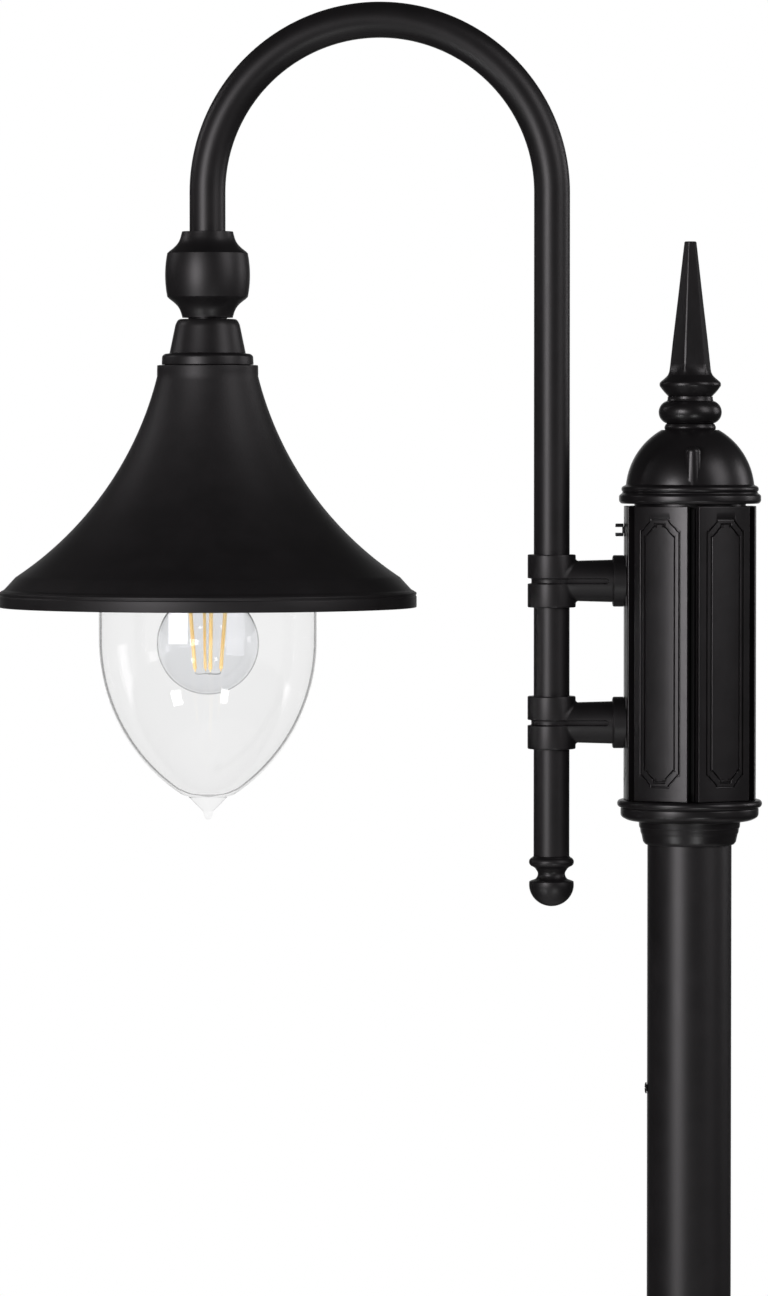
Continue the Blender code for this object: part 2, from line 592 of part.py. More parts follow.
def build_shade(pivot):
    """A spun trumpet: a short upright top, a circular flare and an upright rim."""
    hole = NIPPLE_RADIUS + CLEARANCE
    turned("shade_collar", [
        (hole, COLLAR_TOP), (0.0165, COLLAR_TOP), (0.0186, COLLAR_TOP - 0.0020), (0.0228, 1.9938),
        (0.0255, 1.9918), (0.0268, 1.9895), (0.0270, SHADE_TOP + CLEARANCE), (hole, SHADE_TOP + CLEARANCE),
    ], BLACK, pivot, segments=16)
    flare_radius = 0.2009
    flare = flare_points((0.0300, 1.9785), flare_radius, 13.5, 56.5, 6)
    wall = SHADE_WALL
    outer = [(0.0295, SHADE_TOP), (0.0295, 1.9815), *flare]
    outer += [(0.1212, 1.8520), (SHADE_RIM_RADIUS, SHADE_RIM_TOP), (SHADE_RIM_RADIUS, SHADE_RIM_BOTTOM)]
    inner = [(0.0295 - wall, SHADE_TOP - wall), (0.0295 - wall, 1.9815)]
    inner += inset(flare, wall)
    inner += [(0.1200, 1.8506), (SHADE_RIM_RADIUS - wall, SHADE_RIM_TOP - wall),
              (SHADE_RIM_RADIUS - wall, SHADE_RIM_BOTTOM)]
    turned("shade", [(hole, SHADE_TOP), *outer, *inner[::-1], (hole, SHADE_TOP - wall)], BLACK, pivot,
           segments=24)


def build_suspension(pivot):
    """The hollow hanging tube with its nut and spacer, the gallery that holds the glass, and the holder."""
    hole = NIPPLE_RADIUS + CLEARANCE
    turned("lamp_nipple", [
        (NIPPLE_BORE, 1.9105), (NIPPLE_RADIUS, 1.9105), (NIPPLE_RADIUS, 2.0360), (NIPPLE_BORE, 2.0360),
    ], BRASS, pivot, segments=12)
    nut_top = SHADE_TOP - SHADE_WALL - CLEARANCE
    nut = prism("shade_nut", 0.0095, (0, 0, nut_top - 0.005), (0, 0, nut_top), 6, BRASS, pivot)
    combine(nut, prism_shape(hole + 0.0002, (0, 0, nut_top - 0.01), (0, 0, nut_top + 0.01), 16),
            "DIFFERENCE")
    turned("nipple_spacer", [
        (hole + 0.0002, GALLERY_TOP + CLEARANCE), (0.0080, GALLERY_TOP + CLEARANCE),
        (0.0080, nut_top - 0.005 - CLEARANCE), (hole + 0.0002, nut_top - 0.005 - CLEARANCE),
    ], STEEL, pivot, segments=12)
    wall = 0.0020
    turned("glass_gallery", [
        (hole, GALLERY_TOP), (GALLERY_RADIUS - 0.002, GALLERY_TOP), (GALLERY_RADIUS, GALLERY_TOP - 0.002),
        (GALLERY_RADIUS, GALLERY_BOTTOM), (GLASS_NECK_RADIUS + 0.0007, GALLERY_BOTTOM),
        (GLASS_NECK_RADIUS + 0.0007, GALLERY_TOP - wall), (hole, GALLERY_TOP - wall),
    ], BLACK, pivot)
    turned("gallery_gasket", [
        (0.0380, GLASS_NECK_TOP + CLEARANCE), (GLASS_NECK_RADIUS, GLASS_NECK_TOP + CLEARANCE),
        (GLASS_NECK_RADIUS, GALLERY_TOP - wall - CLEARANCE), (0.0380, GALLERY_TOP - wall - CLEARANCE),
    ], RUBBER, pivot)
    holder_top = GALLERY_TOP - wall - CLEARANCE
    bore = BULB_CAP_RADIUS + 0.0006
    turned("lampholder", [
        (hole, holder_top), (0.0120, holder_top), (0.0150, holder_top - 0.006),
        (HOLDER_RADIUS, holder_top - 0.010), (HOLDER_RADIUS, HOLDER_BOTTOM + 0.003),
        (HOLDER_RADIUS - 0.001, HOLDER_BOTTOM), (bore + 0.001, HOLDER_BOTTOM), (bore, HOLDER_BOTTOM + 0.002),
        (bore, 1.9000), (hole, 1.9000),
    ], PORCELAIN, pivot, segments=16)


def build_glass(pivot):
    """A clear glass with a threaded neck, a straight body and a pointed end with a drop on its tip."""
    centre = GLASS_RADIUS - GLASS_POINT_RADIUS
    drop = 0.0918
    sweep = math.degrees(math.asin(drop / GLASS_POINT_RADIUS))
    outer = [(GLASS_NECK_RADIUS, GLASS_NECK_TOP), (GLASS_NECK_RADIUS, GLASS_SHOULDER + 0.0215)]
    outer += arc((GLASS_NECK_RADIUS, GLASS_SHOULDER), (GLASS_RADIUS - GLASS_NECK_RADIUS, 0.0195), 80, 0, 3)
    outer += arc((centre, GLASS_POINT_START), (GLASS_POINT_RADIUS,) * 2, 0, -sweep, 6)
    outer += [(0.0118, 1.7287), (0.0085, 1.7240), (0.0036, 1.7214), (0.0022, 1.7172), (0, GLASS_TIP)]
    neck_bore = GLASS_NECK_RADIUS - GLASS_WALL
    inner_radius = GLASS_POINT_RADIUS - GLASS_WALL
    inner = [(neck_bore, GLASS_NECK_TOP), (neck_bore, GLASS_SHOULDER + 0.0200)]
    inner += arc((neck_bore, GLASS_SHOULDER), (GLASS_RADIUS - GLASS_NECK_RADIUS, 0.0170), 80, 0, 3)
    inner += arc((centre, GLASS_POINT_START), (inner_radius,) * 2, 0, -sweep, 5)
    inner += [(0, 1.7290)]
    turned("glass_globe", outer + inner[::-1], GLASS, pivot)


def build_bulb(pivot):
    """An E27 filament bulb: a screw cap, an open-necked glass, the stem's two stars and the filaments."""
    turned("bulb_cap", [
        (0, BULB_CAP_TOP + 0.0022), (0.0048, BULB_CAP_TOP + 0.0020), (0.0075, BULB_CAP_TOP),
        (0.0125, BULB_CAP_TOP - 0.002), (BULB_CAP_RADIUS, BULB_CAP_TOP - 0.004),
        (BULB_CAP_RADIUS, BULB_CAP_BOTTOM), (0.0118, BULB_CAP_BOTTOM), (0.0118, BULB_CAP_TOP - 0.0045),
        (0, BULB_CAP_TOP - 0.0045),
    ], BRASS, pivot, segments=16)
    wall = 0.0008
    body = arc((0, BULB_CENTRE), (BULB_RADIUS, BULB_RADIUS), 38, -90, 7)
    neck = [(0.0112, 1.8780), (0.0112, 1.8690), (0.0122, 1.8610), (0.0165, 1.8490)]
    outer = neck + body[:-1] + [(0, BULB_CENTRE - BULB_RADIUS)]
    inner = [(radius - wall, height) for radius, height in neck]
    inner += arc((0, BULB_CENTRE), (BULB_RADIUS - wall,) * 2, 38, -90, 7)[:-1]
    inner += [(0, BULB_CENTRE - BULB_RADIUS + wall)]
    turned("bulb_glass", outer + inner[::-1], GLASS, pivot, segments=16)
    top_radius, top = FILAMENT_TOP
    low_radius, low = FILAMENT_BOTTOM
    turned("bulb_stem", [
        (0, low - 0.0018), (low_radius + 0.001, low - 0.0018), (low_radius + 0.001, low - CLEARANCE),
        (0.0012, low - CLEARANCE), (0.0012, top + CLEARANCE), (top_radius + 0.0012, top + CLEARANCE),
        (top_radius + 0.0012, top + 0.0018), (0.0030, top + 0.0018), (0.0090, 1.8650), (0.0090, 1.8770),
        (0, 1.8770),
    ], GLASS, pivot, segments=12)
    for index in range(FILAMENT_COUNT):
        azimuth = FILAMENT_AZIMUTH + index * 360 / FILAMENT_COUNT
        prism(f"filament_{index + 1}", 0.0011, ring_place(azimuth, low_radius, low),
              ring_place(azimuth, top_radius, top), 6, PHOSPHOR, pivot)


# ---------------------------------------------------------------- cables


def build_cable(name, points, radius, pivot):
    """A cable as a bevelled curve with filled ends."""
    curve = bpy.data.curves.new(name, "CURVE")
    curve.dimensions = "3D"
    curve.bevel_depth = radius
    curve.bevel_resolution = 2
    curve.use_fill_caps = True
    spline = curve.splines.new("POLY")
    spline.points.add(len(points) - 1)
    for point, place in zip(spline.points, points):
        point.co = (*place, 1.0)
    curve.materials.append(finish_of(RUBBER))
    cable = bpy.data.objects.new(name, curve)
    bpy.context.scene.collection.objects.link(cable)
    cable.parent = pivot


def build_cables(head_pivot, arm_pivot):
    """The lamp's two inner cables: terminals to the upper T-clamp, and up the arm to the lampholder."""
    height = BRACKET_HEIGHTS["upper"]
    build_cable("hub_cable", [
        (-0.002, 0.0190, TERMINAL_HEIGHT - 0.0103), (-0.002, 0.0188, 1.8685), (-0.003, 0.0176, 1.8645),
        (-0.006, 0.0148, 1.8608), (-0.0105, 0.0100, 1.8585), (-0.0150, 0.0050, height + 0.0003),
        (-0.0195, 0.0015, height), (-0.0235, 0.0, height), (-0.0700, 0.0, height),
    ], 0.0020, head_pivot)
    x, z, _ = arm_centreline(height + 0.003, 2.0380, 14)
    points = [(a, 0.0, b) for a, b in zip(x, z)] + [(-2 * ARCH_RADIUS, 0.0, 1.9030)]
    build_cable("arm_cable", points, 0.0022, arm_pivot)


def main():
    clear_scene()
    post = pivot_at("post_pivot", 0.0)
    cover = pivot_at("base_cover_pivot", 0.0, post)
    head = pivot_at("head_pivot", 0.0, post)
    dome = pivot_at("dome_pivot", 0.0, head)
    finial = pivot_at("finial_pivot", 0.0, dome)
    arm = pivot_at("arm_pivot", ARM_X, head)
    lantern = pivot_at("lantern_pivot", LANTERN_X, arm)
    glass = pivot_at("glass_pivot", LANTERN_X, lantern)
    bulb = pivot_at("bulb_pivot", LANTERN_X, lantern)

    build_foot(post)
    build_post(post)
    build_base_cover(cover)
    build_head_structure(head)
    build_panels(head)
    build_terminals(head)
    build_dome(dome)
    build_finial(dome, finial)
    for side in BRACKET_HEIGHTS:
        build_bracket(side, head)
    build_arm(arm)
    build_coupling(lantern)
    build_shade(lantern)
    build_suspension(lantern)
    build_glass(glass)
    build_bulb(bulb)
    build_cables(head, arm)


main()
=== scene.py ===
"""Finished looks of a swan-neck street lamp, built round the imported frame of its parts.

The lamp is a column foot and post, a panelled head with a dome and a spike, two T-clamps, a curved
arm, a trumpet shade with a pointed clear glass, and a filament bulb. Each sub-assembly is a class that
holds its own sizes, makes its surfaces with numpy, and dresses them. Sizes in the classes are
millimetres; places come from the frame, in metres.
"""

from __future__ import annotations

import logging
import math
from dataclasses import dataclass, field
from enum import Enum
from typing import Callable, Iterable, Sequence

import bmesh
import bpy
import numpy as np
from mathutils import Matrix, Vector

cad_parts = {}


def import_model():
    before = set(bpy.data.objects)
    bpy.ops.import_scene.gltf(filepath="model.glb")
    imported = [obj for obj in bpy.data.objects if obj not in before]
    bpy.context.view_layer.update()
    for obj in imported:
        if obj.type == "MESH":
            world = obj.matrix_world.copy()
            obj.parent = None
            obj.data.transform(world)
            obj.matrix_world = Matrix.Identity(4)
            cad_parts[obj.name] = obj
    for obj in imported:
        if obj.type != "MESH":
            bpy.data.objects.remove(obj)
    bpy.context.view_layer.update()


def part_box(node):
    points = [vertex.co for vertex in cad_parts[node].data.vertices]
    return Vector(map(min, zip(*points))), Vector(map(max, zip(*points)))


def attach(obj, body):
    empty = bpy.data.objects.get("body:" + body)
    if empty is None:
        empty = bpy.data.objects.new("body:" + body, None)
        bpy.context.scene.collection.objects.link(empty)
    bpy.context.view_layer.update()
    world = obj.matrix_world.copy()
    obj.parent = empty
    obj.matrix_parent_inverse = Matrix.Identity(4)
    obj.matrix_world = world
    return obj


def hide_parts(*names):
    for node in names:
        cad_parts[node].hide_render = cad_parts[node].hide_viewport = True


LOG = logging.getLogger("street_lamp")

Array = np.ndarray
Corner = tuple[float, float, float]  # radius, height and rounding of one outline corner, in millimetres
Point = Sequence[float]  # x, y and z
Outline = Array | Sequence[Corner]

MM = 0.001
FULL_TURN = 2.0 * math.pi
ROUNDING_STEPS = 5  # points along each rounded corner of an outline
THREAD_ROWS = 8  # rows of points for each turn of a thread
SHARP_ANGLE = math.radians(28.0)
WELD_DISTANCE = 2e-6


# ------------------------------------------------------------------ surfaces


@dataclass
class Shell:
    """A closed surface: points in metres and four-cornered faces, with its outside outwards."""

    points: Array
    faces: Array

    @classmethod
    def of_grid(cls, grid: Array, wrap_rows: bool = True) -> "Shell":
        """Joins a grid of points into faces.

        Columns always close on themselves. Rows close too, unless both end rows lie on the axis. A shell
        whose signed volume, the sum of origin tetrahedra over all faces, is negative is turned round.

        Args:
            grid: Points as (rows, columns, 3).
            wrap_rows: Whether the last row joins the first.

        Returns:
            The shell, facing out.
        """
        rows, columns = grid.shape[:2]
        index = np.arange(rows * columns).reshape(rows, columns)
        index = np.concatenate([index, index[:, :1]], axis=1)
        if wrap_rows:
            index = np.concatenate([index, index[:1]], axis=0)
        faces = np.stack([index[:-1, :-1], index[:-1, 1:], index[1:, 1:], index[1:, :-1]], axis=-1)
        shell = cls(grid.reshape(-1, 3).astype(float), faces.reshape(-1, 4))
        return shell if shell.volume() > 0 else cls(shell.points, shell.faces[:, ::-1])

    def volume(self) -> float:
        """Signed volume in cubic metres."""
        a, b, c, d = (self.points[self.faces[:, i]] for i in range(4))
        return float(((a * np.cross(b, c)).sum() + (a * np.cross(c, d)).sum()) / 6.0)

    def moved(self, x: float = 0.0, y: float = 0.0, z: float = 0.0) -> "Shell":
        """The shell shifted by a distance in metres."""
        return Shell(self.points + np.array([x, y, z]), self.faces)

    def laid(self, direction: Sequence[float], origin: Sequence[float]) -> "Shell":
        """The shell with its +Z axis turned to a direction and its origin placed at a point."""
        turn = Vector((0, 0, 1)).rotation_difference(Vector(direction)).to_matrix()
        return Shell(self.points @ np.array(turn).T + np.array(origin, float), self.faces)

    def spun(self, angle: float) -> "Shell":
        """The shell turned about the vertical axis through the origin."""
        turn = np.array(Matrix.Rotation(angle, 3, "Z"))
        return Shell(self.points @ turn.T, self.faces)

    def mesh(self, name: str) -> bpy.types.Mesh:
        """A Blender mesh with poles and seams welded."""
        made = bpy.data.meshes.new(name)
        made.vertices.add(len(self.points))
        made.vertices.foreach_set("co", self.points.astype(np.float32).ravel())
        made.loops.add(self.faces.size)
        made.loops.foreach_set("vertex_index", self.faces.astype(np.int32).ravel())
        made.polygons.add(len(self.faces))
        made.polygons.foreach_set("loop_start", np.arange(0, self.faces.size, 4, dtype=np.int32))
        made.update(calc_edges=True)
        work = bmesh.new()
        work.from_mesh(made)
        bmesh.ops.remove_doubles(work, verts=work.verts, dist=WELD_DISTANCE)
        loose = [edge for edge in work.edges if not edge.link_faces]
        bmesh.ops.delete(work, geom=loose, context="EDGES")
        work.to_mesh(made)
        work.free()
        made.validate()
        return made





def arc(centre: tuple[float, float], radii: tuple[float, float], start: float, end: float,
        steps: int = 16) -> Array:
    """Corners along an elliptic arc.

    Each point is the centre plus (cosine, sine) of its angle times the two radii.

    Args:
        centre: (radius, height) of the arc's centre.
        radii: The arc's two radii.
        start: First angle in degrees, from straight outwards and turning upwards.
        end: Last angle in degrees.
        steps: Number of stretches.

    Returns:
        Corners with no rounding.
    """
    angles = np.radians(np.linspace(start, end, steps + 1))
    reach = np.stack([np.cos(angles), np.sin(angles)], axis=1) * np.array(radii)
    return np.column_stack([reach + np.array(centre), np.zeros(len(angles))])


def bead(centre: tuple[float, float], radii: tuple[float, float], span: float = 90.0,
         steps: int = 14) -> Array:
    """Corners of a half-round moulding that bulges outwards, from its lower edge to its upper one."""
    return arc(centre, radii, -span, span, steps)


def rounded(outline: Array, closed: bool) -> Array:
    """Rounds the corners of an outline.

    Each corner is replaced by the parabola that touches both of its sides at the same distance from it:
    (1-t)^2 A + 2t(1-t) P + t^2 B, with that distance at most 45% of the shorter side.

    Args:
        outline: Corners as (radius, height, rounding).
        closed: Whether the last corner joins the first.

    Returns:
        Points as (radius, height).
    """
    places, reach = outline[:, :2], outline[:, 2]
    back = np.roll(places, 1, axis=0) - places
    ahead = np.roll(places, -1, axis=0) - places
    back_length = np.linalg.norm(back, axis=1)
    ahead_length = np.linalg.norm(ahead, axis=1)
    side = np.minimum(reach, 0.45 * np.minimum(back_length, ahead_length))
    if not closed:
        side[[0, -1]] = 0.0
    start = places + back * (side / np.maximum(back_length, 1e-9))[:, None]
    end = places + ahead * (side / np.maximum(ahead_length, 1e-9))[:, None]
    t = np.linspace(0.0, 1.0, ROUNDING_STEPS)[None, :, None]
    curve = (1 - t) ** 2 * start[:, None] + 2 * t * (1 - t) * places[:, None] + t**2 * end[:, None]
    points = curve.reshape(-1, 2)
    step = np.linalg.norm(np.diff(points, axis=0), axis=1)
    return points[np.concatenate([[True], step > 1e-5])]


def lathe(parts: Sequence[Outline], columns: int = 96) -> Shell:
    """Turns an outline about the vertical axis.

    A point at (radius, height) becomes the circle (radius cos a, radius sin a, height).

    Args:
        parts: Stretches of the outline in millimetres, in order.
        columns: Points round each circle.

    Returns:
        The shell in metres, standing on height 0 of its outline.
    """
    outline = np.concatenate([np.atleast_2d(part) for part in parts])
    solid = outline[0, 0] == 0.0 and outline[-1, 0] == 0.0
    points = rounded(outline, closed=not solid) * MM
    angles = np.linspace(0.0, FULL_TURN, columns, endpoint=False)
    radius, height = points[:, :1], points[:, 1:]
    grid = np.stack([radius * np.cos(angles), radius * np.sin(angles), height + 0 * angles], axis=-1)
    return Shell.of_grid(grid, wrap_rows=not solid)


def hexagon_reach(angles: Array, across_corners: float, corner_at: float = 0.0) -> Array:
    """Distance from a hexagon's centre to its side: R cos 30 / cos(angle folded into +-30 degrees)."""
    folded = np.mod(angles - corner_at, math.pi / 3) - math.pi / 6
    return across_corners * math.cos(math.pi / 6) / np.cos(folded)


def hexagon_piece(radius: float, bottom: float, top: float, bore: float = 0.0, chamfer: float = 0.6,
                  both: bool = False, columns: int = 96) -> Shell:
    """A nut, or a bolt's head, with its corners turned off by a cone.

    The rim's height falls with the reach of the hexagon beyond the chamfer's circle.

    Args:
        radius: Centre to corner, in millimetres.
        bottom: Height of the lower face.
        top: Height of the upper face.
        bore: Radius of the hole, or 0 for none.
        chamfer: How far the corners are turned down.
        both: Whether the lower face is turned off too.
        columns: Points round the piece.

    Returns:
        The closed shell.
    """
    angles = np.linspace(0.0, FULL_TURN, columns, endpoint=False)
    reach = hexagon_reach(angles, radius)
    flat = radius * math.cos(math.pi / 6)
    drop = chamfer * (reach - flat) / (radius - flat)
    level = np.zeros(columns)
    rows = [
        (level + bore, level + bottom),
        (level + (flat if both else 0) + (0 if both else 1) * reach, level + bottom),
        (reach, level + bottom + (drop if both else 0)),
        (reach, level + top - drop),
        (level + flat, level + top),
        (level + bore, level + top),
    ]
    grid = np.stack([
        np.stack([r * np.cos(angles), r * np.sin(angles), z], axis=-1) for r, z in rows
    ]) * MM
    return Shell.of_grid(grid, wrap_rows=bore > 0)


def block(low: Sequence[float], high: Sequence[float], rounding: float = 0.0) -> Shell:
    """A box in metres with rounded upright edges.

    Each level is a rectangle whose corners are quarter circles of the rounding's radius.

    Args:
        low: Lowest corner.
        high: Highest corner.
        rounding: Radius of the upright edges.

    Returns:
        The closed shell.
    """
    low, high = np.array(low, float), np.array(high, float)
    centre, half = (low + high) / 2, (high - low) / 2
    edge = max(rounding, 1e-6)
    quarter = np.linspace(0.0, math.pi / 2, 7)
    angles = (quarter[None, :] + np.arange(4)[:, None] * math.pi / 2).ravel()
    sign_x = np.sign(np.cos(np.repeat(np.arange(4) * math.pi / 2 + math.pi / 4, 7)))
    sign_y = np.sign(np.sin(np.repeat(np.arange(4) * math.pi / 2 + math.pi / 4, 7)))
    x = centre[0] + sign_x * (half[0] - edge) + edge * np.cos(angles)
    y = centre[1] + sign_y * (half[1] - edge) + edge * np.sin(angles)
    lip = min(edge * 0.4, half[2] * 0.3)
    shrink = 1 - lip / half[:2].min()
    rows = []
    for scale, z in ((0.0, low[2]), (shrink, low[2]), (1.0, low[2] + lip), (1.0, high[2] - lip),
                     (shrink, high[2]), (0.0, high[2])):
        rows.append(np.stack([
            centre[0] + (x - centre[0]) * scale, centre[1] + (y - centre[1]) * scale, np.full_like(x, z)
        ], axis=-1))
    return Shell.of_grid(np.stack(rows), wrap_rows=False)


def tube_along(path: Array, radius: float, bore: float = 0.0, columns: int = 48) -> Shell:
    """A round tube, or a rod, carried along a smooth path.

    At each station the circle lies across the path's direction; its frame is turned from station to
    station by projecting the last frame's side vector, so that it never twists.

    Args:
        path: Points in metres as (n, 3).
        radius: Outer radius in metres.
        bore: Inner radius in metres, or 0 for a rod with flat ends.
        columns: Points round the tube.

    Returns:
        The closed shell.
    """
    along = np.gradient(path, axis=0)
    along /= np.linalg.norm(along, axis=1)[:, None]
    side = np.empty_like(along)
    first = np.array([0.0, 1.0, 0.0]) if abs(along[0, 1]) < 0.9 else np.array([1.0, 0.0, 0.0])
    for station, direction in enumerate(along):
        first = first - direction * (first @ direction)
        first = first / np.linalg.norm(first)
        side[station] = first
    other = np.cross(along, side)
    angles = np.linspace(0.0, FULL_TURN, columns, endpoint=False)
    ring = np.cos(angles)[None, :, None] * side[:, None] + np.sin(angles)[None, :, None] * other[:, None]
    outer = path[:, None] + radius * ring
    inner = path[::-1, None] + bore * ring[::-1]
    if bore > 0:
        return Shell.of_grid(np.concatenate([outer, inner]))
    ends = [path[:1, None] + 0 * ring[:1], outer, path[-1:, None] + 0 * ring[-1:]]
    return Shell.of_grid(np.concatenate(ends), wrap_rows=False)


def smooth_path(points: Sequence[Sequence[float]], steps: int = 8) -> Array:
    """Reads a Catmull-Rom curve through route points.

    Between two points the curve is the cubic whose slope at each is half the chord of its neighbours.

    Args:
        points: Route points in metres.
        steps: Stretches between two route points.

    Returns:
        Points along the curve.
    """
    route = np.array(points, float)
    padded = np.concatenate([2 * route[:1] - route[1:2], route, 2 * route[-1:] - route[-2:-1]])
    before, start, end, after = padded[:-3], padded[1:-2], padded[2:-1], padded[3:]
    t = np.linspace(0.0, 1.0, steps, endpoint=False)[None, :, None]
    before, start, end, after = (item[:, None] for item in (before, start, end, after))
    curve = 0.5 * (2 * start + (end - before) * t + (2 * before - 5 * start + 4 * end - after) * t**2
                   + (3 * start - before - 3 * end + after) * t**3)
    return np.concatenate([curve.reshape(-1, 3), route[-1:]])


def thread(radius: float, depth: float, pitch: float, bottom: float, top: float, bore: float = 0.0,
           columns: int = 64) -> Shell:
    """A threaded rod or sleeve.

    The radius at height z and angle a is R - depth times the square root of a raised cosine of
    (z / pitch - a / 2 pi), and the depth fades out over one pitch at each end.

    Args:
        radius: Crest radius in millimetres.
        depth: Depth of the thread.
        pitch: Distance between turns.
        bottom: Lower end.
        top: Upper end.
        bore: Radius of the hole, or 0 for a solid rod.
        columns: Points round the piece.

    Returns:
        The closed shell.
    """
    count = max(4, int(round((top - bottom) / pitch * THREAD_ROWS)))
    height = np.linspace(bottom, top, count)[:, None]
    angles = np.linspace(0.0, FULL_TURN, columns, endpoint=False)[None, :]
    wave = (0.5 - 0.5 * np.cos(FULL_TURN * height / pitch - angles)) ** 0.5
    fade = np.clip(np.minimum(height - bottom, top - height) / pitch, 0.0, 1.0)
    reach = radius - depth * (1.0 - fade * (1.0 - wave))
    outer = np.stack([reach * np.cos(angles), reach * np.sin(angles), height + 0 * angles], axis=-1)
    circle = np.stack([np.cos(angles[0]), np.sin(angles[0]), 0 * angles[0]], axis=-1)
    rise = np.array([0.0, 0.0, 1.0])
    low = (bore * circle + bottom * rise)[None]
    high = (bore * circle + top * rise)[None]
    return Shell.of_grid(np.concatenate([low, outer, high]) * MM, wrap_rows=bore > 0)


# ------------------------------------------------------------------ shader arithmetic


@dataclass
class Wire:
    """A number that varies over a surface, with Python's arithmetic."""

    bench: "Bench"
    socket: bpy.types.NodeSocket

    def _maths(self, operation: str, *values: object) -> "Wire":
        """A Math node on numbers and wires."""
        node = self.bench.node("ShaderNodeMath", {"operation": operation}, dict(enumerate(values)))
        return Wire(self.bench, node.outputs[0])

    def __add__(self, other: object) -> "Wire":
        """Sum."""
        return self._maths("ADD", self, other)

    def __radd__(self, other: object) -> "Wire":
        """Sum, the other way round."""
        return self._maths("ADD", other, self)

    def __sub__(self, other: object) -> "Wire":
        """Difference."""
        return self._maths("SUBTRACT", self, other)

    def __rsub__(self, other: object) -> "Wire":
        """Difference, the other way round."""
        return self._maths("SUBTRACT", other, self)

    def __mul__(self, other: object) -> "Wire":
        """Product."""
        return self._maths("MULTIPLY", self, other)

    def __rmul__(self, other: object) -> "Wire":
        """Product, the other way round."""
        return self._maths("MULTIPLY", other, self)

    def between(self, low: float, high: float) -> "Wire":
        """0 below low, 1 above high, and a smooth step in between."""
        node = self.bench.node(
            "ShaderNodeMapRange", {"interpolation_type": "SMOOTHSTEP"},
            {"Value": self, "From Min": low, "From Max": high},
        )
        return Wire(self.bench, node.outputs["Result"])


def add_node(tree: bpy.types.NodeTree, kind: str, settings: dict | None = None,
             values: dict | None = None) -> bpy.types.Node:
    """Adds a node.

    Args:
        tree: The node tree.
        kind: Blender's name of the node type.
        settings: Properties, set first.
        values: Numbers, colours, sockets or wires for its inputs, by name or number.

    Returns:
        The node.
    """
    made = tree.nodes.new(kind)
    for key, value in (settings or {}).items():
        setattr(made, key, value)
    for name, value in (values or {}).items():
        feed(tree, value, made.inputs[name])
    return made


def feed(tree: bpy.types.NodeTree, value: object, socket: bpy.types.NodeSocket) -> None:
    """Links a wire or an output to an input, or sets the input to a plain value."""
    value = value.socket if isinstance(value, Wire) else value
    if isinstance(value, bpy.types.NodeSocket):
        tree.links.new(value, socket)
    else:
        socket.default_value = value


class Bench:
    """The node tree of one material, ending in a Principled shader."""

    def __init__(self, name: str) -> None:
        """Makes an empty material with its shader and output."""
        self.material = bpy.data.materials.new(name)
        self.material.use_nodes = True
        self.tree = self.material.node_tree
        self.tree.nodes.clear()
        self.shader = self.node("ShaderNodeBsdfPrincipled")
        self.node("ShaderNodeOutputMaterial", {}, {"Surface": self.shader.outputs[0]})
        coordinates = self.node("ShaderNodeTexCoord")
        self.place = Wire(self, coordinates.outputs["Object"])

    def node(self, kind: str, settings: dict | None = None, values: dict | None = None) -> bpy.types.Node:
        """Adds a node to the material, as add_node does."""
        return add_node(self.tree, kind, settings, values)

    def noise(self, feature: float, detail: float = 2.0, roughness: float = 0.5,
              stretch: tuple[float, float, float] = (1.0, 1.0, 1.0)) -> Wire:
        """Noise whose features are about the given size in metres, drawn out along each axis by stretch."""
        scaled = self.node("ShaderNodeMapping", {}, {
            "Vector": self.place, "Scale": tuple(1.0 / part for part in stretch),
        })
        made = self.node("ShaderNodeTexNoise", {}, {
            "Vector": Wire(self, scaled.outputs[0]), "Scale": 1.0 / feature, "Detail": detail,
            "Roughness": roughness,
        })
        return Wire(self, made.outputs["Fac"])

    def cells(self, feature: float) -> Wire:
        """Distance to the nearest of many scattered points about the given size apart, in metres."""
        made = self.node("ShaderNodeTexVoronoi", {"feature": "F1"}, {
            "Vector": self.place, "Scale": 1.0 / feature,
        })
        return Wire(self, made.outputs["Distance"])

    def blend(self, share: Wire, first: Sequence[float], second: Sequence[float]) -> Wire:
        """A colour that goes from the first to the second as share goes from 0 to 1."""
        made = self.node("ShaderNodeMix", {"data_type": "RGBA"}, {
            0: share, 6: (*first, 1.0), 7: (*second, 1.0),
        })
        return Wire(self, made.outputs[2])

    def relief(self, height: Wire, distance: float) -> Wire:
        """A normal bent by a height field of the given depth in metres."""
        made = self.node("ShaderNodeBump", {}, {"Height": height, "Distance": distance, "Strength": 1.0})
        return Wire(self, made.outputs[0])

    def finish(self, **sockets: object) -> bpy.types.Material:
        """Sets or links the shader's inputs, named with underscores for spaces, and gives the material."""
        for name, value in sockets.items():
            feed(self.tree, value, self.shader.inputs[name.replace("_", " ")])
        return self.material


# ------------------------------------------------------------------ finishes


class Slot(Enum):
    """The record's material slots."""

    BLACK = "satin_black"
    STEEL = "zinc_steel"
    BRASS = "brass"
    GLASS = "clear_glass"
    BULB = "bulb_glass"
    RUBBER = "dark_rubber"
    PLASTIC = "white_plastic"
    PORCELAIN = "white_porcelain"
    PHOSPHOR = "amber_phosphor"


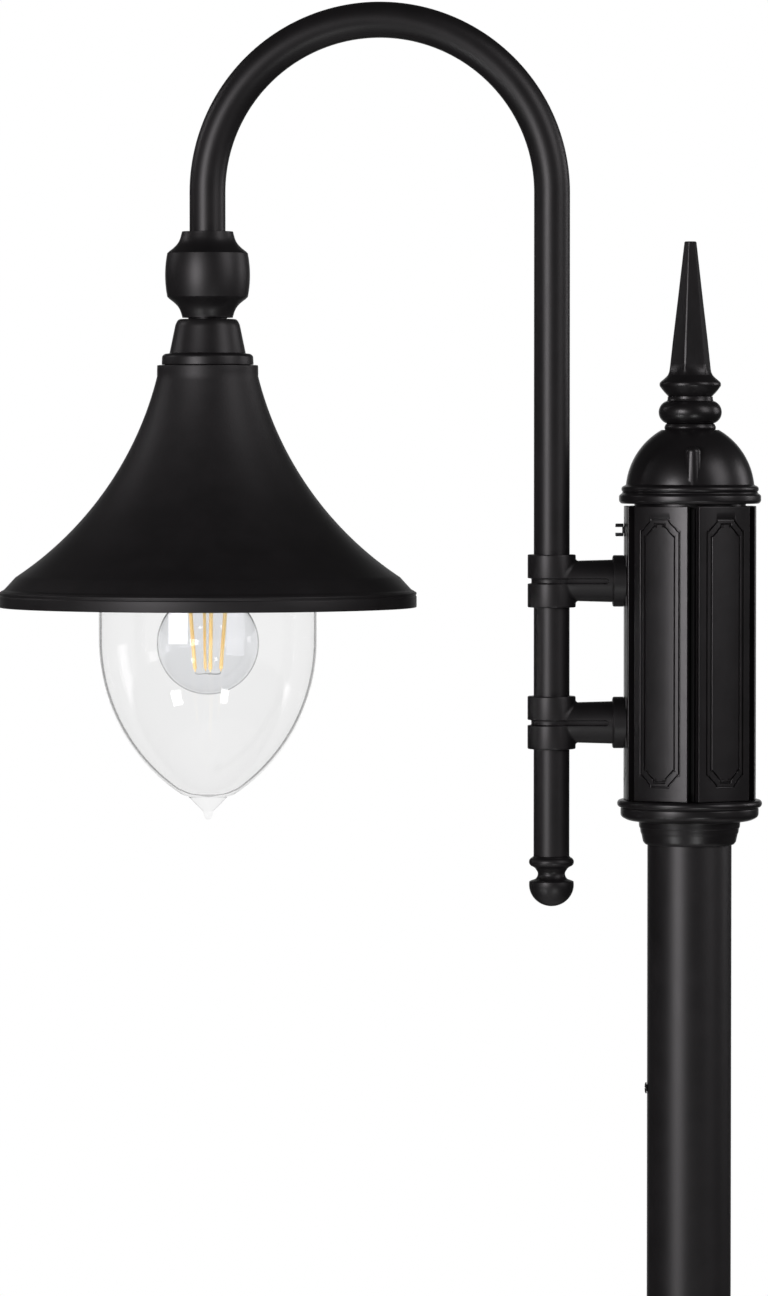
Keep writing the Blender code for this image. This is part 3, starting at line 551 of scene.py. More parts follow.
@dataclass(frozen=True)
class PowderCoat:
    """Baked black powder on steel or cast metal."""

    name: str
    slot: Slot = Slot.BLACK
    colour: tuple[float, float, float] = (0.0064, 0.0057, 0.0062)
    flushed: tuple[float, float, float] = (0.0098, 0.0087, 0.0095)
    roughness: float = 0.42
    grain: float = 0.0007  # size of the powder's orange peel, in metres
    depth: float = 0.00002
    casting: float = 0.0  # depth of the slow waves of a casting, in metres

    def material(self) -> bpy.types.Material:
        """Fine peel from cells and noise, slow waves on castings, and a faintly uneven gloss and tone."""
        bench = Bench(self.name)
        peel = bench.noise(self.grain, detail=3.0, roughness=0.6)
        pits = bench.cells(self.grain * 2.2)
        cloud = bench.noise(0.018, detail=4.0, roughness=0.55)
        slow = bench.noise(0.007, detail=1.0)
        tone = (cloud * 0.7 + peel * 0.3).between(0.32, 0.70)
        height = peel * 0.65 + pits * 0.35
        if self.casting:
            height = height + slow * (self.casting / self.depth)
        gloss = self.roughness - 0.05 + 0.06 * cloud + 0.05 * peel
        return bench.finish(
            Base_Color=bench.blend(tone, self.colour, self.flushed),
            Roughness=gloss, Normal=bench.relief(height, self.depth), Specular_IOR_Level=0.5,
        )


@dataclass(frozen=True)
class PlatedMetal:
    """Bare or plated metal with fine turning marks and a mottled film."""

    name: str
    slot: Slot
    colour: tuple[float, float, float]
    dulled: tuple[float, float, float]
    roughness: float = 0.32
    mark: float = 0.0004  # spacing of the turning marks, in metres

    def material(self) -> bpy.types.Material:
        """Marks drawn out sideways, a blotchy film in the colour and the roughness."""
        bench = Bench(self.name)
        marks = bench.noise(self.mark, detail=2.0, stretch=(9.0, 9.0, 1.0))
        blotch = bench.noise(0.006, detail=4.0, roughness=0.6)
        film = blotch.between(0.42, 0.68)
        return bench.finish(
            Base_Color=bench.blend(film, self.colour, self.dulled), Metallic=1.0,
            Roughness=self.roughness + 0.16 * film + 0.10 * marks,
            Normal=bench.relief(marks, 0.000012),
        )


@dataclass(frozen=True)
class ClearGlass:
    """Thin clear glass with hardly seen waves from its mould."""

    name: str
    slot: Slot
    tint: tuple[float, float, float] = (0.945, 0.945, 0.945)
    index: float = 1.025
    gloss: float = 0.45  # weight of the clear coat that carries the reflections
    wave: float = 0.02
    depth: float = 0.000006

    def material(self) -> bpy.types.Material:
        """A transmitting shader whose normal follows slow noise, with a breath of dust in its roughness."""
        bench = Bench(self.name)
        waves = bench.noise(self.wave, detail=1.0)
        dust = bench.noise(0.0016, detail=3.0, roughness=0.65).between(0.66, 0.86)
        return bench.finish(
            Base_Color=bench.blend(dust, self.tint, tuple(0.97 * part for part in self.tint)),
            Roughness=0.02 * dust, Transmission_Weight=1.0, IOR=self.index, Coat_Weight=self.gloss,
            Normal=bench.relief(waves, self.depth),
        )


@dataclass(frozen=True)
class Moulded:
    """A non-metal: rubber, plastic, porcelain or phosphor."""

    name: str
    slot: Slot
    colour: tuple[float, float, float]
    second: tuple[float, float, float]
    roughness: float
    grain: float = 0.0008
    depth: float = 0.00001
    coat: float = 0.0
    glow: float = 0.0

    def material(self) -> bpy.types.Material:
        """Two close tones mixed by noise, with a fine relief and, where it has one, a glaze or a glow."""
        bench = Bench(self.name)
        fine = bench.noise(self.grain, detail=3.0, roughness=0.6)
        cloud = bench.noise(self.grain * 14, detail=3.0)
        tone = (fine * 0.5 + cloud * 0.5).between(0.35, 0.65)
        colour = bench.blend(tone, self.colour, self.second)
        return bench.finish(
            Base_Color=colour, Roughness=self.roughness + 0.08 * fine,
            Normal=bench.relief(fine, self.depth), Coat_Weight=self.coat,
            Emission_Color=colour, Emission_Strength=self.glow,
        )


SATIN_TUBE = PowderCoat("satin_tube_coat", roughness=0.43, grain=0.0006)
MATT_SHADE = PowderCoat("matt_shade_coat", roughness=0.50, grain=0.0009, depth=0.00004)
CAST_COAT = PowderCoat("cast_coat", roughness=0.34, grain=0.0007, casting=0.00005)
PANEL_COAT = PowderCoat("panel_coat", roughness=0.32, grain=0.0007, casting=0.00003)
FOOT_COAT = PowderCoat("foot_coat", roughness=0.46, grain=0.0008, casting=0.00006)
ZINC = PlatedMetal("zinc_plate", Slot.STEEL, (0.60, 0.60, 0.61), (0.42, 0.43, 0.46))
BRASS = PlatedMetal("turned_brass", Slot.BRASS, (0.76, 0.58, 0.29), (0.52, 0.37, 0.18), roughness=0.26)
BLACKENED = PlatedMetal("blackened_screw", Slot.STEEL, (0.20, 0.20, 0.21), (0.11, 0.11, 0.12), 0.38)
NICKEL = PlatedMetal("nickel_cap", Slot.BRASS, (0.80, 0.72, 0.55), (0.66, 0.56, 0.38), roughness=0.22)
GLOBE_GLASS = ClearGlass("globe_glass", Slot.GLASS)
LAMP_GLASS = ClearGlass("lamp_glass", Slot.BULB, tint=(0.925, 0.930, 0.940), depth=0.000004)
RUBBER = Moulded("cable_rubber", Slot.RUBBER, (0.028, 0.028, 0.029), (0.045, 0.044, 0.044), 0.62)
PLASTIC = Moulded("terminal_plastic", Slot.PLASTIC, (0.82, 0.81, 0.77), (0.74, 0.73, 0.69), 0.42)
PORCELAIN = Moulded("holder_porcelain", Slot.PORCELAIN, (0.86, 0.85, 0.81), (0.80, 0.79, 0.74), 0.20,
                    grain=0.002, coat=0.6)
PHOSPHOR = Moulded("filament_phosphor", Slot.PHOSPHOR, (0.93, 0.60, 0.20), (0.96, 0.72, 0.34), 0.45,
                   grain=0.0005, depth=0.00003, glow=0.35)

Finish = PowderCoat | PlatedMetal | ClearGlass | Moulded


# ------------------------------------------------------------------ the workshop


@dataclass
class Place:
    """Where a node stands in the frame, in metres."""

    low: Vector
    high: Vector

    @classmethod
    def of(cls, node: str) -> "Place":
        """The place of a node of the frame."""
        low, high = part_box(node)
        return cls(low, high)

    @property
    def axis(self) -> float:
        """X of the node's middle."""
        return (self.low.x + self.high.x) / 2

    @property
    def bottom(self) -> float:
        """Lowest height."""
        return self.low.z

    @property
    def top(self) -> float:
        """Highest height."""
        return self.high.z

    @property
    def middle(self) -> float:
        """Height of the middle."""
        return (self.low.z + self.high.z) / 2

    @property
    def spot(self) -> tuple[float, float, float]:
        """The middle of the node's underside."""
        return self.axis, (self.low.y + self.high.y) / 2, self.low.z

    @property
    def tall(self) -> float:
        """Height from bottom to top in millimetres."""
        return (self.high.z - self.low.z) / MM

    @property
    def radius(self) -> float:
        """Half the width along Y in millimetres."""
        return (self.high.y - self.low.y) / 2 / MM

    def level(self, height: float) -> float:
        """A height above the ground, in millimetres, counted from the node's bottom instead."""
        return height - self.bottom / MM


@dataclass
class Workshop:
    """Makes finished pieces and hangs them on the frame."""

    materials: dict[str, bpy.types.Material] = field(default_factory=dict)
    count: int = 0

    def coat(self, finish: Finish) -> bpy.types.Material:
        """The material of a finish, made once."""
        if finish.name not in self.materials:
            self.materials[finish.name] = finish.material()
        return self.materials[finish.name]

    def raw(self, name: str, shell: Shell) -> bpy.types.Object:
        """A plain object of a shell."""
        made = bpy.data.objects.new(name, shell.mesh(name))
        bpy.context.scene.collection.objects.link(made)
        return made

    def carve(self, target: bpy.types.Object, tools: Iterable[Shell],
              operation: str = "DIFFERENCE") -> None:
        """Cuts shells from an object, or joins them on, and keeps the result as its mesh."""
        for number, tool in enumerate(tools):
            helper = self.raw(f"helper_{number}", tool)
            change = target.modifiers.new("carve", "BOOLEAN")
            change.operation, change.object, change.solver = operation, helper, "EXACT"
            graph = bpy.context.evaluated_depsgraph_get()
            carved = bpy.data.meshes.new_from_object(target.evaluated_get(graph))
            target.modifiers.clear()
            old, target.data = target.data, carved
            bpy.data.meshes.remove(old)
            bpy.data.objects.remove(helper)

    def finish(self, piece: bpy.types.Object, finish: Finish, body: str, *nodes: str) -> bpy.types.Object:
        """Shades, coats and hangs a piece.

        Args:
            piece: The object, its place in its mesh.
            finish: Its finish.
            body: The moving body that carries it.
            nodes: The nodes of the frame that it stands for.

        Returns:
            The piece.
        """
        mesh = piece.data
        mesh.shade_smooth()
        mesh.set_sharp_from_angle(angle=SHARP_ANGLE)
        mesh.materials.clear()
        mesh.materials.append(self.coat(finish))
        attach(piece, body)
        if nodes:
            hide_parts(*nodes)
        self.count += 1
        LOG.info("piece %02d %s on %s: %d faces", self.count, piece.name, body, len(mesh.polygons))
        return piece

    def make(self, node: str, shell: Shell, finish: Finish, body: str, cuts: Sequence[Shell] = (),
             joins: Sequence[Shell] = ()) -> bpy.types.Object:
        """Makes the piece that stands for a node, with shells joined on and then cut away."""
        piece = self.raw(f"{node}_fine", shell)
        self.carve(piece, joins, "UNION")
        self.carve(piece, cuts)
        return self.finish(piece, finish, body, node)

    def turned(self, node: str, parts: Sequence[Outline], finish: Finish, body: str,
               cuts: Sequence[Shell] = (), columns: int = 96) -> bpy.types.Object:
        """Makes a turned piece whose outline's heights count from its node's bottom."""
        return self.make(node, lathe(parts, columns).moved(*Place.of(node).spot), finish, body, cuts)


def rod(radius: float, length: float, edge: float = 0.2, columns: int = 48) -> Shell:
    """A plain round rod from height 0, in millimetres, with its edges broken."""
    return lathe([[(0, 0, 0), (radius, 0, edge), (radius, length, edge), (0, length, 0)]], columns)


def bearing(degrees: float) -> Array:
    """The level direction at an azimuth."""
    return np.array([math.cos(math.radians(degrees)), math.sin(math.radians(degrees)), 0.0])


def radial_rod(azimuth: float, radius: float, inner: float, outer: float, height: float,
               x: float = 0.0) -> Shell:
    """A rod along a radius of the vertical axis at x: radii in millimetres, height and x in metres."""
    origin = bearing(azimuth) * inner * MM + np.array([x, 0.0, height])
    return rod(radius, outer - inner).laid(bearing(azimuth), origin)


# ------------------------------------------------------------------ foot and post


@dataclass
class Foot:
    """The bolted plate, its collar, the bolts and the bell cover."""

    shop: Workshop
    bolt_radius: float = 5.0
    washer_radius: float = 10.5
    head_radius: float = 9.5

    def build(self) -> None:
        """Builds the plate, bolts, grub screws, grommet and cover."""
        self.plate()
        for number in range(1, 5):
            self.bolt(f"anchor_bolt_{number}")
        for number, azimuth in ((1, 0.0), (2, 90.0)):
            self.grub_screw(f"foot_screw_{number}", azimuth)
        self.grommet()
        self.cover()

    def plate(self) -> None:
        """A round plate with a collar: edges rounded, bolt and cable holes cut through."""
        bolts = [Place.of(f"anchor_bolt_{number}") for number in range(1, 5)]
        screw = Place.of("foot_screw_1")
        cable = Place.of("cable_grommet")
        holes = [rod(5.5, 30).moved(*bolt.spot[:2], -0.01) for bolt in bolts]
        holes.append(rod(6.0, 30).moved(*cable.spot[:2], -0.01))
        holes += [radial_rod(azimuth, 3.3, 20, 40, screw.middle) for azimuth in (0.0, 90.0)]
        self.shop.turned("base_flange", [[
            (0, 0, 0), (120, 0, 0.6), (120, 10, 1.6), (39, 10, 5.0), (34, 14, 4.0), (34, 60, 1.4),
            (25.3, 60, 0.8), (25.3, 10, 0), (0, 10, 0),
        ]], FOOT_COAT, "post", cuts=holes, columns=128)

    def bolt(self, node: str) -> None:
        """A washer-faced hexagon bolt."""
        place = Place.of(node)
        washer = self.washer_radius
        body = lathe([[
            (0, 0, 0), (self.bolt_radius, 0, 0.5), (self.bolt_radius, 9.3, 0), (washer, 9.3, 0.2),
            (washer, 11.5, 0.7), (0, 11.5, 0),
        ]], 64)
        head = hexagon_piece(self.head_radius, 11.0, place.tall, chamfer=1.1)
        self.shop.make(node, body.moved(*place.spot), ZINC, "post", joins=[head.moved(*place.spot)])

    def grub_screw(self, node: str, azimuth: float) -> None:
        """A cup-nosed grub screw with a hexagon socket."""
        place = Place.of(node)
        outer = 35.5
        inner = 25.3
        length = outer - inner
        body = lathe([[
            (0, 0.6, 0), (1.6, 0, 0.2), (2.9, 1.2, 0.2), (2.9, length, 0.5), (0, length, 0),
        ]], 48)
        socket = hexagon_piece(1.5, length - 2.4, length + 2.0, chamfer=0.01)
        origin = bearing(azimuth) * inner * MM + np.array([0.0, 0.0, place.middle])
        self.shop.make(node, body.laid(bearing(azimuth), origin), ZINC, "post",
                       cuts=[socket.laid(bearing(azimuth), origin)])

    def grommet(self) -> None:
        """A rubber grommet with a rolled lip."""
        self.shop.turned("cable_grommet", [
            [(4, 0, 0.5), (5.6, 0, 0.4), (5.6, 9.3, 0)],
            bead((6.6, 10.4), (1.4, 1.1), 90), [(4.0, 11.5, 0.6)],
        ], RUBBER, "post", columns=64)

    def cover(self) -> None:
        """A spun bell cover: a quarter-round over its skirt, a cove up to a ring and a short neck."""
        place = Place.of("base_cover")
        base = place.bottom / MM
        outer = [
            [(115, 0, 0.6), (115, 17.5 - base, 1.4), (112.2, 19.6 - base, 0.8)],
            arc((85, 20 - base), (27, 25), 0, 90, 20)[1:], [(79, 45 - base, 0.5)],
            [(78, 47 - base, 0.8)], arc((78, 90 - base), (42, 42), 270, 180, 26),
            arc((35, 97.5 - base), (5.5, 4.5), -80, 80, 14),
            [(31, 103 - base, 1.0), (31, place.tall, 0.8)],
        ]
        inner = [
            [(25.7, place.tall, 0.6), (25.7, 94 - base, 0)],
            arc((75.5, 87.5 - base), (42, 41.5), 190, 270, 20),
            [(76.5, 43.5 - base, 0.5)],
            arc((84, 19.5 - base), (25.5, 23), 90, 0, 16), [(112.5, 0, 0.4)],
        ]
        self.shop.turned("base_cover", outer + inner, FOOT_COAT, "base_cover", columns=160)


@dataclass
class Post:
    """The round column tube and its lock screw."""

    shop: Workshop
    wall: float = 2.5

    def build(self) -> None:
        """Builds the tube with its screw hole, and the screw."""
        place, screw = Place.of("post_tube"), Place.of("post_lock_screw")
        radius, tall = place.radius, place.tall
        self.shop.turned("post_tube", [[
            (radius, 0, 0.4), (radius, tall, 0.4), (radius - self.wall, tall, 0.4),
            (radius - self.wall, 0, 0.4),
        ]], SATIN_TUBE, "post", cuts=[radial_rod(180, 2.4, 15, 35, screw.middle)], columns=128)
        slotted_screw(self.shop, "post_lock_screw", SATIN_TUBE, "post", azimuth=180, inner=22.2,
                      seat=radius + 0.3, shank=2.0, head=3.4, rise=1.2)


def slotted_screw(shop: Workshop, node: str, finish: Finish, body: str, azimuth: float, inner: float,
                  seat: float, shank: float, head: float, rise: float,
                  slot: tuple[float, float] = (0.7, 0.7), dome: float = 0.55) -> None:
    """Makes a slotted screw on a radius of the post's axis, all sizes in millimetres.

    Args:
        shop: Where it is made.
        node: The node that it stands for, which gives its height.
        finish: Its finish.
        body: The body that carries it.
        azimuth: Direction of the screw's head, in degrees.
        inner: Radius of its inner end from the axis.
        seat: Radius where its head starts.
        shank: Shank radius.
        head: Head radius.
        rise: Height of the head.
        slot: Width and depth of the slot.
        dome: Share of the head's rise that is domed.
    """
    reach = seat - inner
    shape = lathe([[
        (0, 0, 0), (shank, 0, 0.3), (shank, reach, 0), (head, reach, 0.15),
        (head, reach + rise * (1 - dome), 0.3),
        (head * (1 - 0.55 * dome), reach + rise * (1 - 0.25 * dome), 1.8 * dome), (0, reach + rise, 0),
    ]], 48)
    half, depth, top = slot[0] * MM / 2, slot[1] * MM, (reach + rise) * MM
    past = head * MM * 1.2  # half length of the slot, beyond the head's edge
    cut = block((-half, -past, top - depth), (half, past, top + 0.002), 1e-5)
    direction = bearing(azimuth)
    origin = direction * inner * MM + np.array([0.0, 0.0, Place.of(node).middle])
    shop.make(node, shape.laid(direction, origin), finish, body, [cut.laid(direction, origin)])


# ------------------------------------------------------------------ column head


@dataclass
class Head:
    """The cast head: socket ring, core, six panels, dome, beads and spike."""

    shop: Workshop
    panel_count: int = 6
    half_width: float = 17.7
    bulge: float = 90.0  # radius of the panels' slightly rounded faces
    line_half: float = 0.50  # half width of an engraved line
    line_wall: float = 0.24  # width of its steep sides
    line_depth: float = 1.1
    line_spacing: float = 2.8

    def build(self) -> None:
        """Builds the fixed ring, the core, the panels, what they hold, and the top."""
        self.socket()
        self.core()
        self.panels()
        self.inside()
        self.dome()
        self.bead()
        self.spike()

    def socket(self) -> None:
        """The lower ring: a rolled lip on the post, a bell, a torus and a bead under the panels."""
        level = Place.of("hub_socket").level
        self.shop.turned("hub_socket", [
            [(25.5, 0, 0.3), (26.2, 0, 0.8), (27.6, level(1702.4), 1.2), (28.5, level(1706.8), 0.5)],
            [(29.1, level(1708.2), 0.3), (29.4, level(1710.6), 0.3), (29.9, level(1711.2), 0.3)],
            [(30.2, level(1714.6), 0.4), (36.6, level(1715.2), 2.5), (41.0, level(1717.6), 1.8)],
            [(41.0, level(1722.3), 0.5), (40.5, level(1722.9), 0.2)],
            bead((41.1, level(1725.3)), (1.9, 2.2), 75), [(40.5, level(1727.7), 0.2)],
            [(22.4, level(1727.7), 0), (22.4, level(1723.0), 0), (25.5, level(1723.0), 0)],
        ], CAST_COAT, "head", columns=128)

    def core(self) -> None:
        """The core tube with a raised rib down the middle of each groove between the panels.

        The outer radius is R + rib height times a smooth bump of the angle to the nearest groove.
        """
        place = Place.of("hub_core")
        radius, bore, tall = place.radius, 29.5, place.tall
        rib_height, rib_half = 1.5, math.radians(1.6)
        spread = np.linspace(-1, 1, 9)
        fine = (np.arange(6)[:, None] * math.pi / 3 + math.pi / 6 + spread * rib_half * 2).ravel()
        coarse = np.linspace(0, FULL_TURN, 90, endpoint=False)
        angles = np.unique(np.round(np.mod(np.concatenate([fine, coarse]), FULL_TURN), 6))
        off = np.mod(angles, math.pi / 3) - math.pi / 6
        outer = radius + rib_height * np.clip(2.0 - np.abs(off) / rib_half, 0, 1)
        ring = np.stack([np.cos(angles), np.sin(angles)], axis=-1)
        top = np.full_like(angles, radius)
        rows = [(np.full_like(angles, bore), 0.0), (outer, 0.0), (outer, tall - 5.5), (top, tall - 5.0),
                (top, tall - 0.4), (top - 0.4, tall), (np.full_like(angles, bore), tall)]
        grid = np.stack([
            np.concatenate([ring * reach[:, None], np.full((len(angles), 1), z)], axis=1)
            for reach, z in rows
        ]) * MM
        shell = Shell.of_grid(grid).moved(z=place.bottom)
        holes = [radial_rod(180, 5.3, 20, 40, Place.of(f"bracket_nipple_{side}").middle)
                 for side in ("upper", "lower")]
        holes.append(radial_rod(180, 2.3, 20, 40, Place.of("panel_screw").middle))
        holes.append(radial_rod(90, 1.8, 20, 40, Place.of("terminal_screw").middle))
        self.shop.make("hub_core", shell, CAST_COAT, "head", cuts=holes)

    def frame_depth(self, across: Array, up: Array, half: float, tall: float) -> Array:
        """Depth of the two incised lines of a panel's frame, in millimetres.

        The frame's outline is a tall rectangle whose corners give way to a short ledge, a slanting line
        and a short step. With u and v as distances beyond the rectangle's side and end, it is the union,
        so the least, of three convex pieces, each the greatest of its edges' distances: the long sides,
        the ends, and the slanting corners. A line is a flat-bottomed dip with steep sides where that
        distance is near 0. The inner line repeats the outer one, set in by the spacing.

        Args:
            across: Distance from the panel's middle line, in millimetres.
            up: Height above the panel's bottom.
            half: Half the frame's width.
            tall: The panel's height.

        Returns:
            Depth below the panel's face at each point.
        """
        margin_top, margin_bottom = 7.4, 8.6
        cut_side, cut_end, ledge, step = 6.4, 7.2, 0.8, 1.3
        normal = np.array([cut_end - step, cut_side - ledge])
        normal = normal / np.linalg.norm(normal)
        dips = []
        for inset in (0.0, self.line_spacing):
            u = np.abs(across) - half + inset
            v = np.maximum(up - (tall - margin_top), margin_bottom - up) + inset
            slant = normal[0] * (u + ledge) + normal[1] * (v + cut_end)
            outline = np.minimum.reduce([
                np.maximum(u, v + cut_end), np.maximum(v, u + cut_side),
                np.maximum.reduce([slant, u + ledge, v + step]),
            ])
            dips.append(np.clip((self.line_half - np.abs(outline)) / self.line_wall, 0, 1))
        return self.line_depth * np.maximum(*dips)

    def panels(self) -> None:
        """Six slightly rounded panels with their engraved frames."""
        place = Place.of("hub_panel_1")
        radius, tall = place.high.x / MM, place.tall
        fine = np.arange(3.4, 13.6, 0.22)
        edge = [14.6, 15.8, 16.6, 17.1, 17.35, 17.5, 17.6, 17.66, 17.7]
        half_across = np.concatenate([[0.0, 1.7], fine, edge])
        across = np.concatenate([-half_across[:0:-1], half_across])
        ends = np.concatenate([[0.0, 0.04, 0.1, 0.2, 0.35, 0.6, 1.2, 3.0, 5.5], np.arange(7.0, 20.4, 0.22)])
        up = np.concatenate([ends, np.linspace(21.5, tall - 21.5, 24), tall - ends[::-1]])
        shape = self.panel(across, up, radius)
        for number in range(1, self.panel_count + 1):
            shell = shape.spun((number - 1) * math.tau / self.panel_count).moved(z=place.bottom)
            cuts = []
            if number == 4:
                cuts = [radial_rod(180, 5.3, 28, 46, Place.of(f"bracket_nipple_{side}").middle)
                        for side in ("upper", "lower")]
                cuts.append(radial_rod(180, 2.3, 28, 46, Place.of("panel_screw").middle))
            node = f"hub_panel_{number}"
            self.shop.make(node, shell, PANEL_COAT, "head", cuts=cuts)

    def panel(self, across: Array, up: Array, radius: float) -> Shell:
        """One panel centred on +X.

        Its face is a wide cylinder, x = R - (bulge - sqrt(bulge^2 - across^2)), less the depth of the
        frame's lines and of its rounded edges. Its back is a cylinder about the head's axis.

        Args:
            across: Places across the face, in millimetres.
            up: Heights above the panel's bottom.
            radius: Distance of the face's middle from the head's axis.

        Returns:
            The closed shell.
        """
        tall, edge, back = up[-1], 0.35, 33.5
        side, height = np.meshgrid(across, up)
        depth = self.frame_depth(side, height, 12.6, tall)
        rim = np.minimum(np.minimum(height, tall - height), self.half_width - np.abs(side))
        depth = depth + edge - np.sqrt(np.maximum(edge**2 - np.maximum(edge - rim, 0.0) ** 2, 0.0))
        reach = radius - (self.bulge - np.sqrt(self.bulge**2 - side**2)) - depth
        face = np.stack([reach, side, height], axis=-1)
        limit = math.atan2(self.half_width, reach[len(up) // 2, -1])
        angle, level = np.meshgrid(np.linspace(limit, -limit, 9), up)
        rear = np.stack([back * np.cos(angle), back * np.sin(angle), level], axis=-1)
        columns = np.concatenate([face, rear], axis=1)
        centre = np.array([35.8, 0.0, 0.0])
        low = np.broadcast_to(centre, columns[:1].shape)
        closed = np.concatenate([low, columns, low + np.array([0, 0, tall])])
        return Shell.of_grid(closed * MM, wrap_rows=False)

    def inside(self) -> None:
        """The spigot, tie rod and bridge, the terminals, and the panel's slotted screw."""
        shop = self.shop
        shop.turned("hub_spigot", [[
            (18.9, 0, 0.5), (21.9, 0, 0.8), (21.9, 193.0, 0.4), (28.8, 193.0, 0.4), (28.8, 196.0, 0.5),
            (18.9, 196.0, 0.5),
        ]], ZINC, "head")
        bridge, tie = Place.of("rod_bridge"), Place.of("tie_rod")
        shop.make("rod_bridge", block(bridge.low, bridge.high, 0.004), ZINC, "head",
                  cuts=[rod(4.4, 20).moved(z=bridge.bottom - 0.008)])
        stud = thread(4.0, 0.35, 1.25, 0.0, tie.tall, columns=44)
        shop.make("tie_rod", stud.moved(z=tie.bottom), ZINC, "head")
        nut = Place.of("tie_rod_nut")
        shop.make("tie_rod_nut", hexagon_piece(7.5, 0, nut.tall, 4.4, both=True).moved(z=nut.bottom),
                  ZINC, "head")
        self.terminals()
        slotted_screw(shop, "panel_screw", BLACKENED, "head", azimuth=180, inner=30.0, seat=39.5, shank=2.0,
                      head=3.8, rise=4.8, slot=(3.4, 4.2), dome=0.08)

    def terminals(self) -> None:
        """The terminal block: a rounded body with three screw wells, held by one screw."""
        place, screw = Place.of("terminal_block"), Place.of("terminal_screw")
        wells = [rod(2.3, 8).moved(x, (place.low.y + place.high.y) / 2, place.top - 0.005)
                 for x in (-0.0075, 0.0, 0.0075)]
        wells.append(radial_rod(90, 1.8, 18.0, 30.0, screw.middle))
        self.shop.make("terminal_block", block(place.low, place.high, 0.0012), PLASTIC, "head", cuts=wells)
        slotted_screw(self.shop, "terminal_screw", ZINC, "head", azimuth=90, inner=19.0, seat=33.4,
                      shank=1.5, head=2.0, rise=1.6, slot=(0.5, 0.6))

    def dome(self) -> None:
        """A ball dome above two ring mouldings, with an upright boss at the front and at the back."""
        place = Place.of("dome_cap")
        level = place.level
        ball, shift, rise, wall = 42.34, -4.1, level(1910.2), 3.0
        outer = [
            [(33.8, 0, 0.2), (40.8, 0, 0.6), (42.1, 1.4, 0.8), (42.1, level(1907.9), 0.7)],
            [(41.2, level(1908.8), 0.3), (40.3, level(1909.4), 0.2), (40.3, level(1909.9), 0.2)],
            bead((39.5, level(1911.8)), (1.2, 1.7), 80),
            [(39.2, level(1913.8), 0.2), (38.4, level(1914.1), 0.2)],
            arc((shift, rise), (ball, ball), 6.0, 60, 30), [(15.0, place.tall, 0.3)],
        ]
        inner = [
            [(4.4, place.tall, 0.2), (4.4, place.tall - wall - 1, 0.4)],
            arc((shift, rise), (ball - wall - 2, ball - wall), 56, 9, 20),
            [(31.0, level(1906.0), 0.2), (33.8, level(1906.0), 0.2)],
        ]
        radius, offset, cap = 4.6, 0.0335, 3.6
        boss = lathe([
            [(0, 2.0, 0), (radius, 2.0, 0)], arc((0, level(1937.4) - cap), (radius, cap), 0, 90, 12),
        ], 48)
        shell = lathe(outer + inner, 128).moved(z=place.bottom)
        bosses = [boss.moved(0, sign * offset, place.bottom) for sign in (-1, 1)]
        self.shop.make("dome_cap", shell, CAST_COAT, "dome", joins=bosses,
                       cuts=[lathe([
                           [(0, level(1906.2), 0)], [(31.0, level(1906.2), 0)],
                           arc((shift, rise), (ball - wall - 2, ball - wall), 9, 56, 20),
                           [(0, place.tall - wall - 1, 0)],
                       ], 128).moved(z=place.bottom)])

    def bead(self) -> None:
        """The turned bead between the dome and the spike: a fillet, a waist and a fat bead."""
        place = Place.of("finial_bead")
        level = place.level
        self.shop.turned("finial_bead", [
            [(4.4, -0.2, 0.1), (14.8, -0.2, 0.4), (15.4, level(1948.3), 0.7)],
            [(14.6, level(1950.2), 0.4)],
            bead((11.9, level(1957.35)), (6.8, 7.0), 74, 26),
            [(13.4, level(1965.2), 0.3), (13.4, place.tall + 0.1, 0.1), (4.4, place.tall + 0.1, 0.1)],
        ], CAST_COAT, "dome")

    def spike(self) -> None:
        """The spike: a six-sided pyramid that grows out of a turned collar.

        Above the collar the radius goes from a circle to a hexagon whose edges are bevelled, as a smooth
        step of the height, and the hexagon's size falls on a nearly straight line to the tip.
        """
        place = Place.of("finial_spike")
        bottom = place.bottom / MM
        columns = 144
        corner_at = math.radians(-107.5)
        angles = np.linspace(0, FULL_TURN, columns, endpoint=False) + corner_at
        collar = rounded(np.array([
            (4.4, -0.15, 0.1), (12.9, -0.15, 0.2), (15.6, 2.6, 1.5), (18.3, 6.2, 1.2), (18.1, 8.2, 1.0),
            (15.2, 10.6, 2.0), (13.6, 12.2, 0),
        ], float), closed=False)
        heights = np.concatenate([np.linspace(1979.4, 1990.0, 24), np.linspace(1991.5, 2058.0, 40)])
        sizes = np.interp(heights, [1979.4, 1981.0, 1983.4, 2000.0, 2023.7, 2058.0],
                          [13.6, 13.05, 12.7, 10.83, 7.86, 3.75])
        share = np.clip((heights - 1978.0) / 8.0, 0, 1)
        share = (share * share * (3 - 2 * share))[:, None]
        sharp = np.minimum(hexagon_reach(angles, 1.0, corner_at), 0.976)
        reach = sizes[:, None] * (share * sharp + (1 - share) * 0.985)
        rows = np.concatenate([
            np.zeros((1, columns)), np.full((1, columns), 4.4), np.repeat(collar[:, :1], columns, axis=1),
            reach, reach[-1:] * 0.86, reach[-1:] * 0,
        ])
        levels = np.concatenate([
            [20.0, 19.0], collar[:, 1], heights - bottom, [place.tall, place.tall],
        ])
        grid = np.stack([
            rows * np.cos(angles), rows * np.sin(angles), np.repeat(levels[:, None], columns, axis=1)
        ], axis=-1) * MM
        shell = Shell.of_grid(grid, wrap_rows=False).moved(z=place.bottom)
        self.shop.make("finial_spike", shell, CAST_COAT, "finial")


# ------------------------------------------------------------------ T-clamps


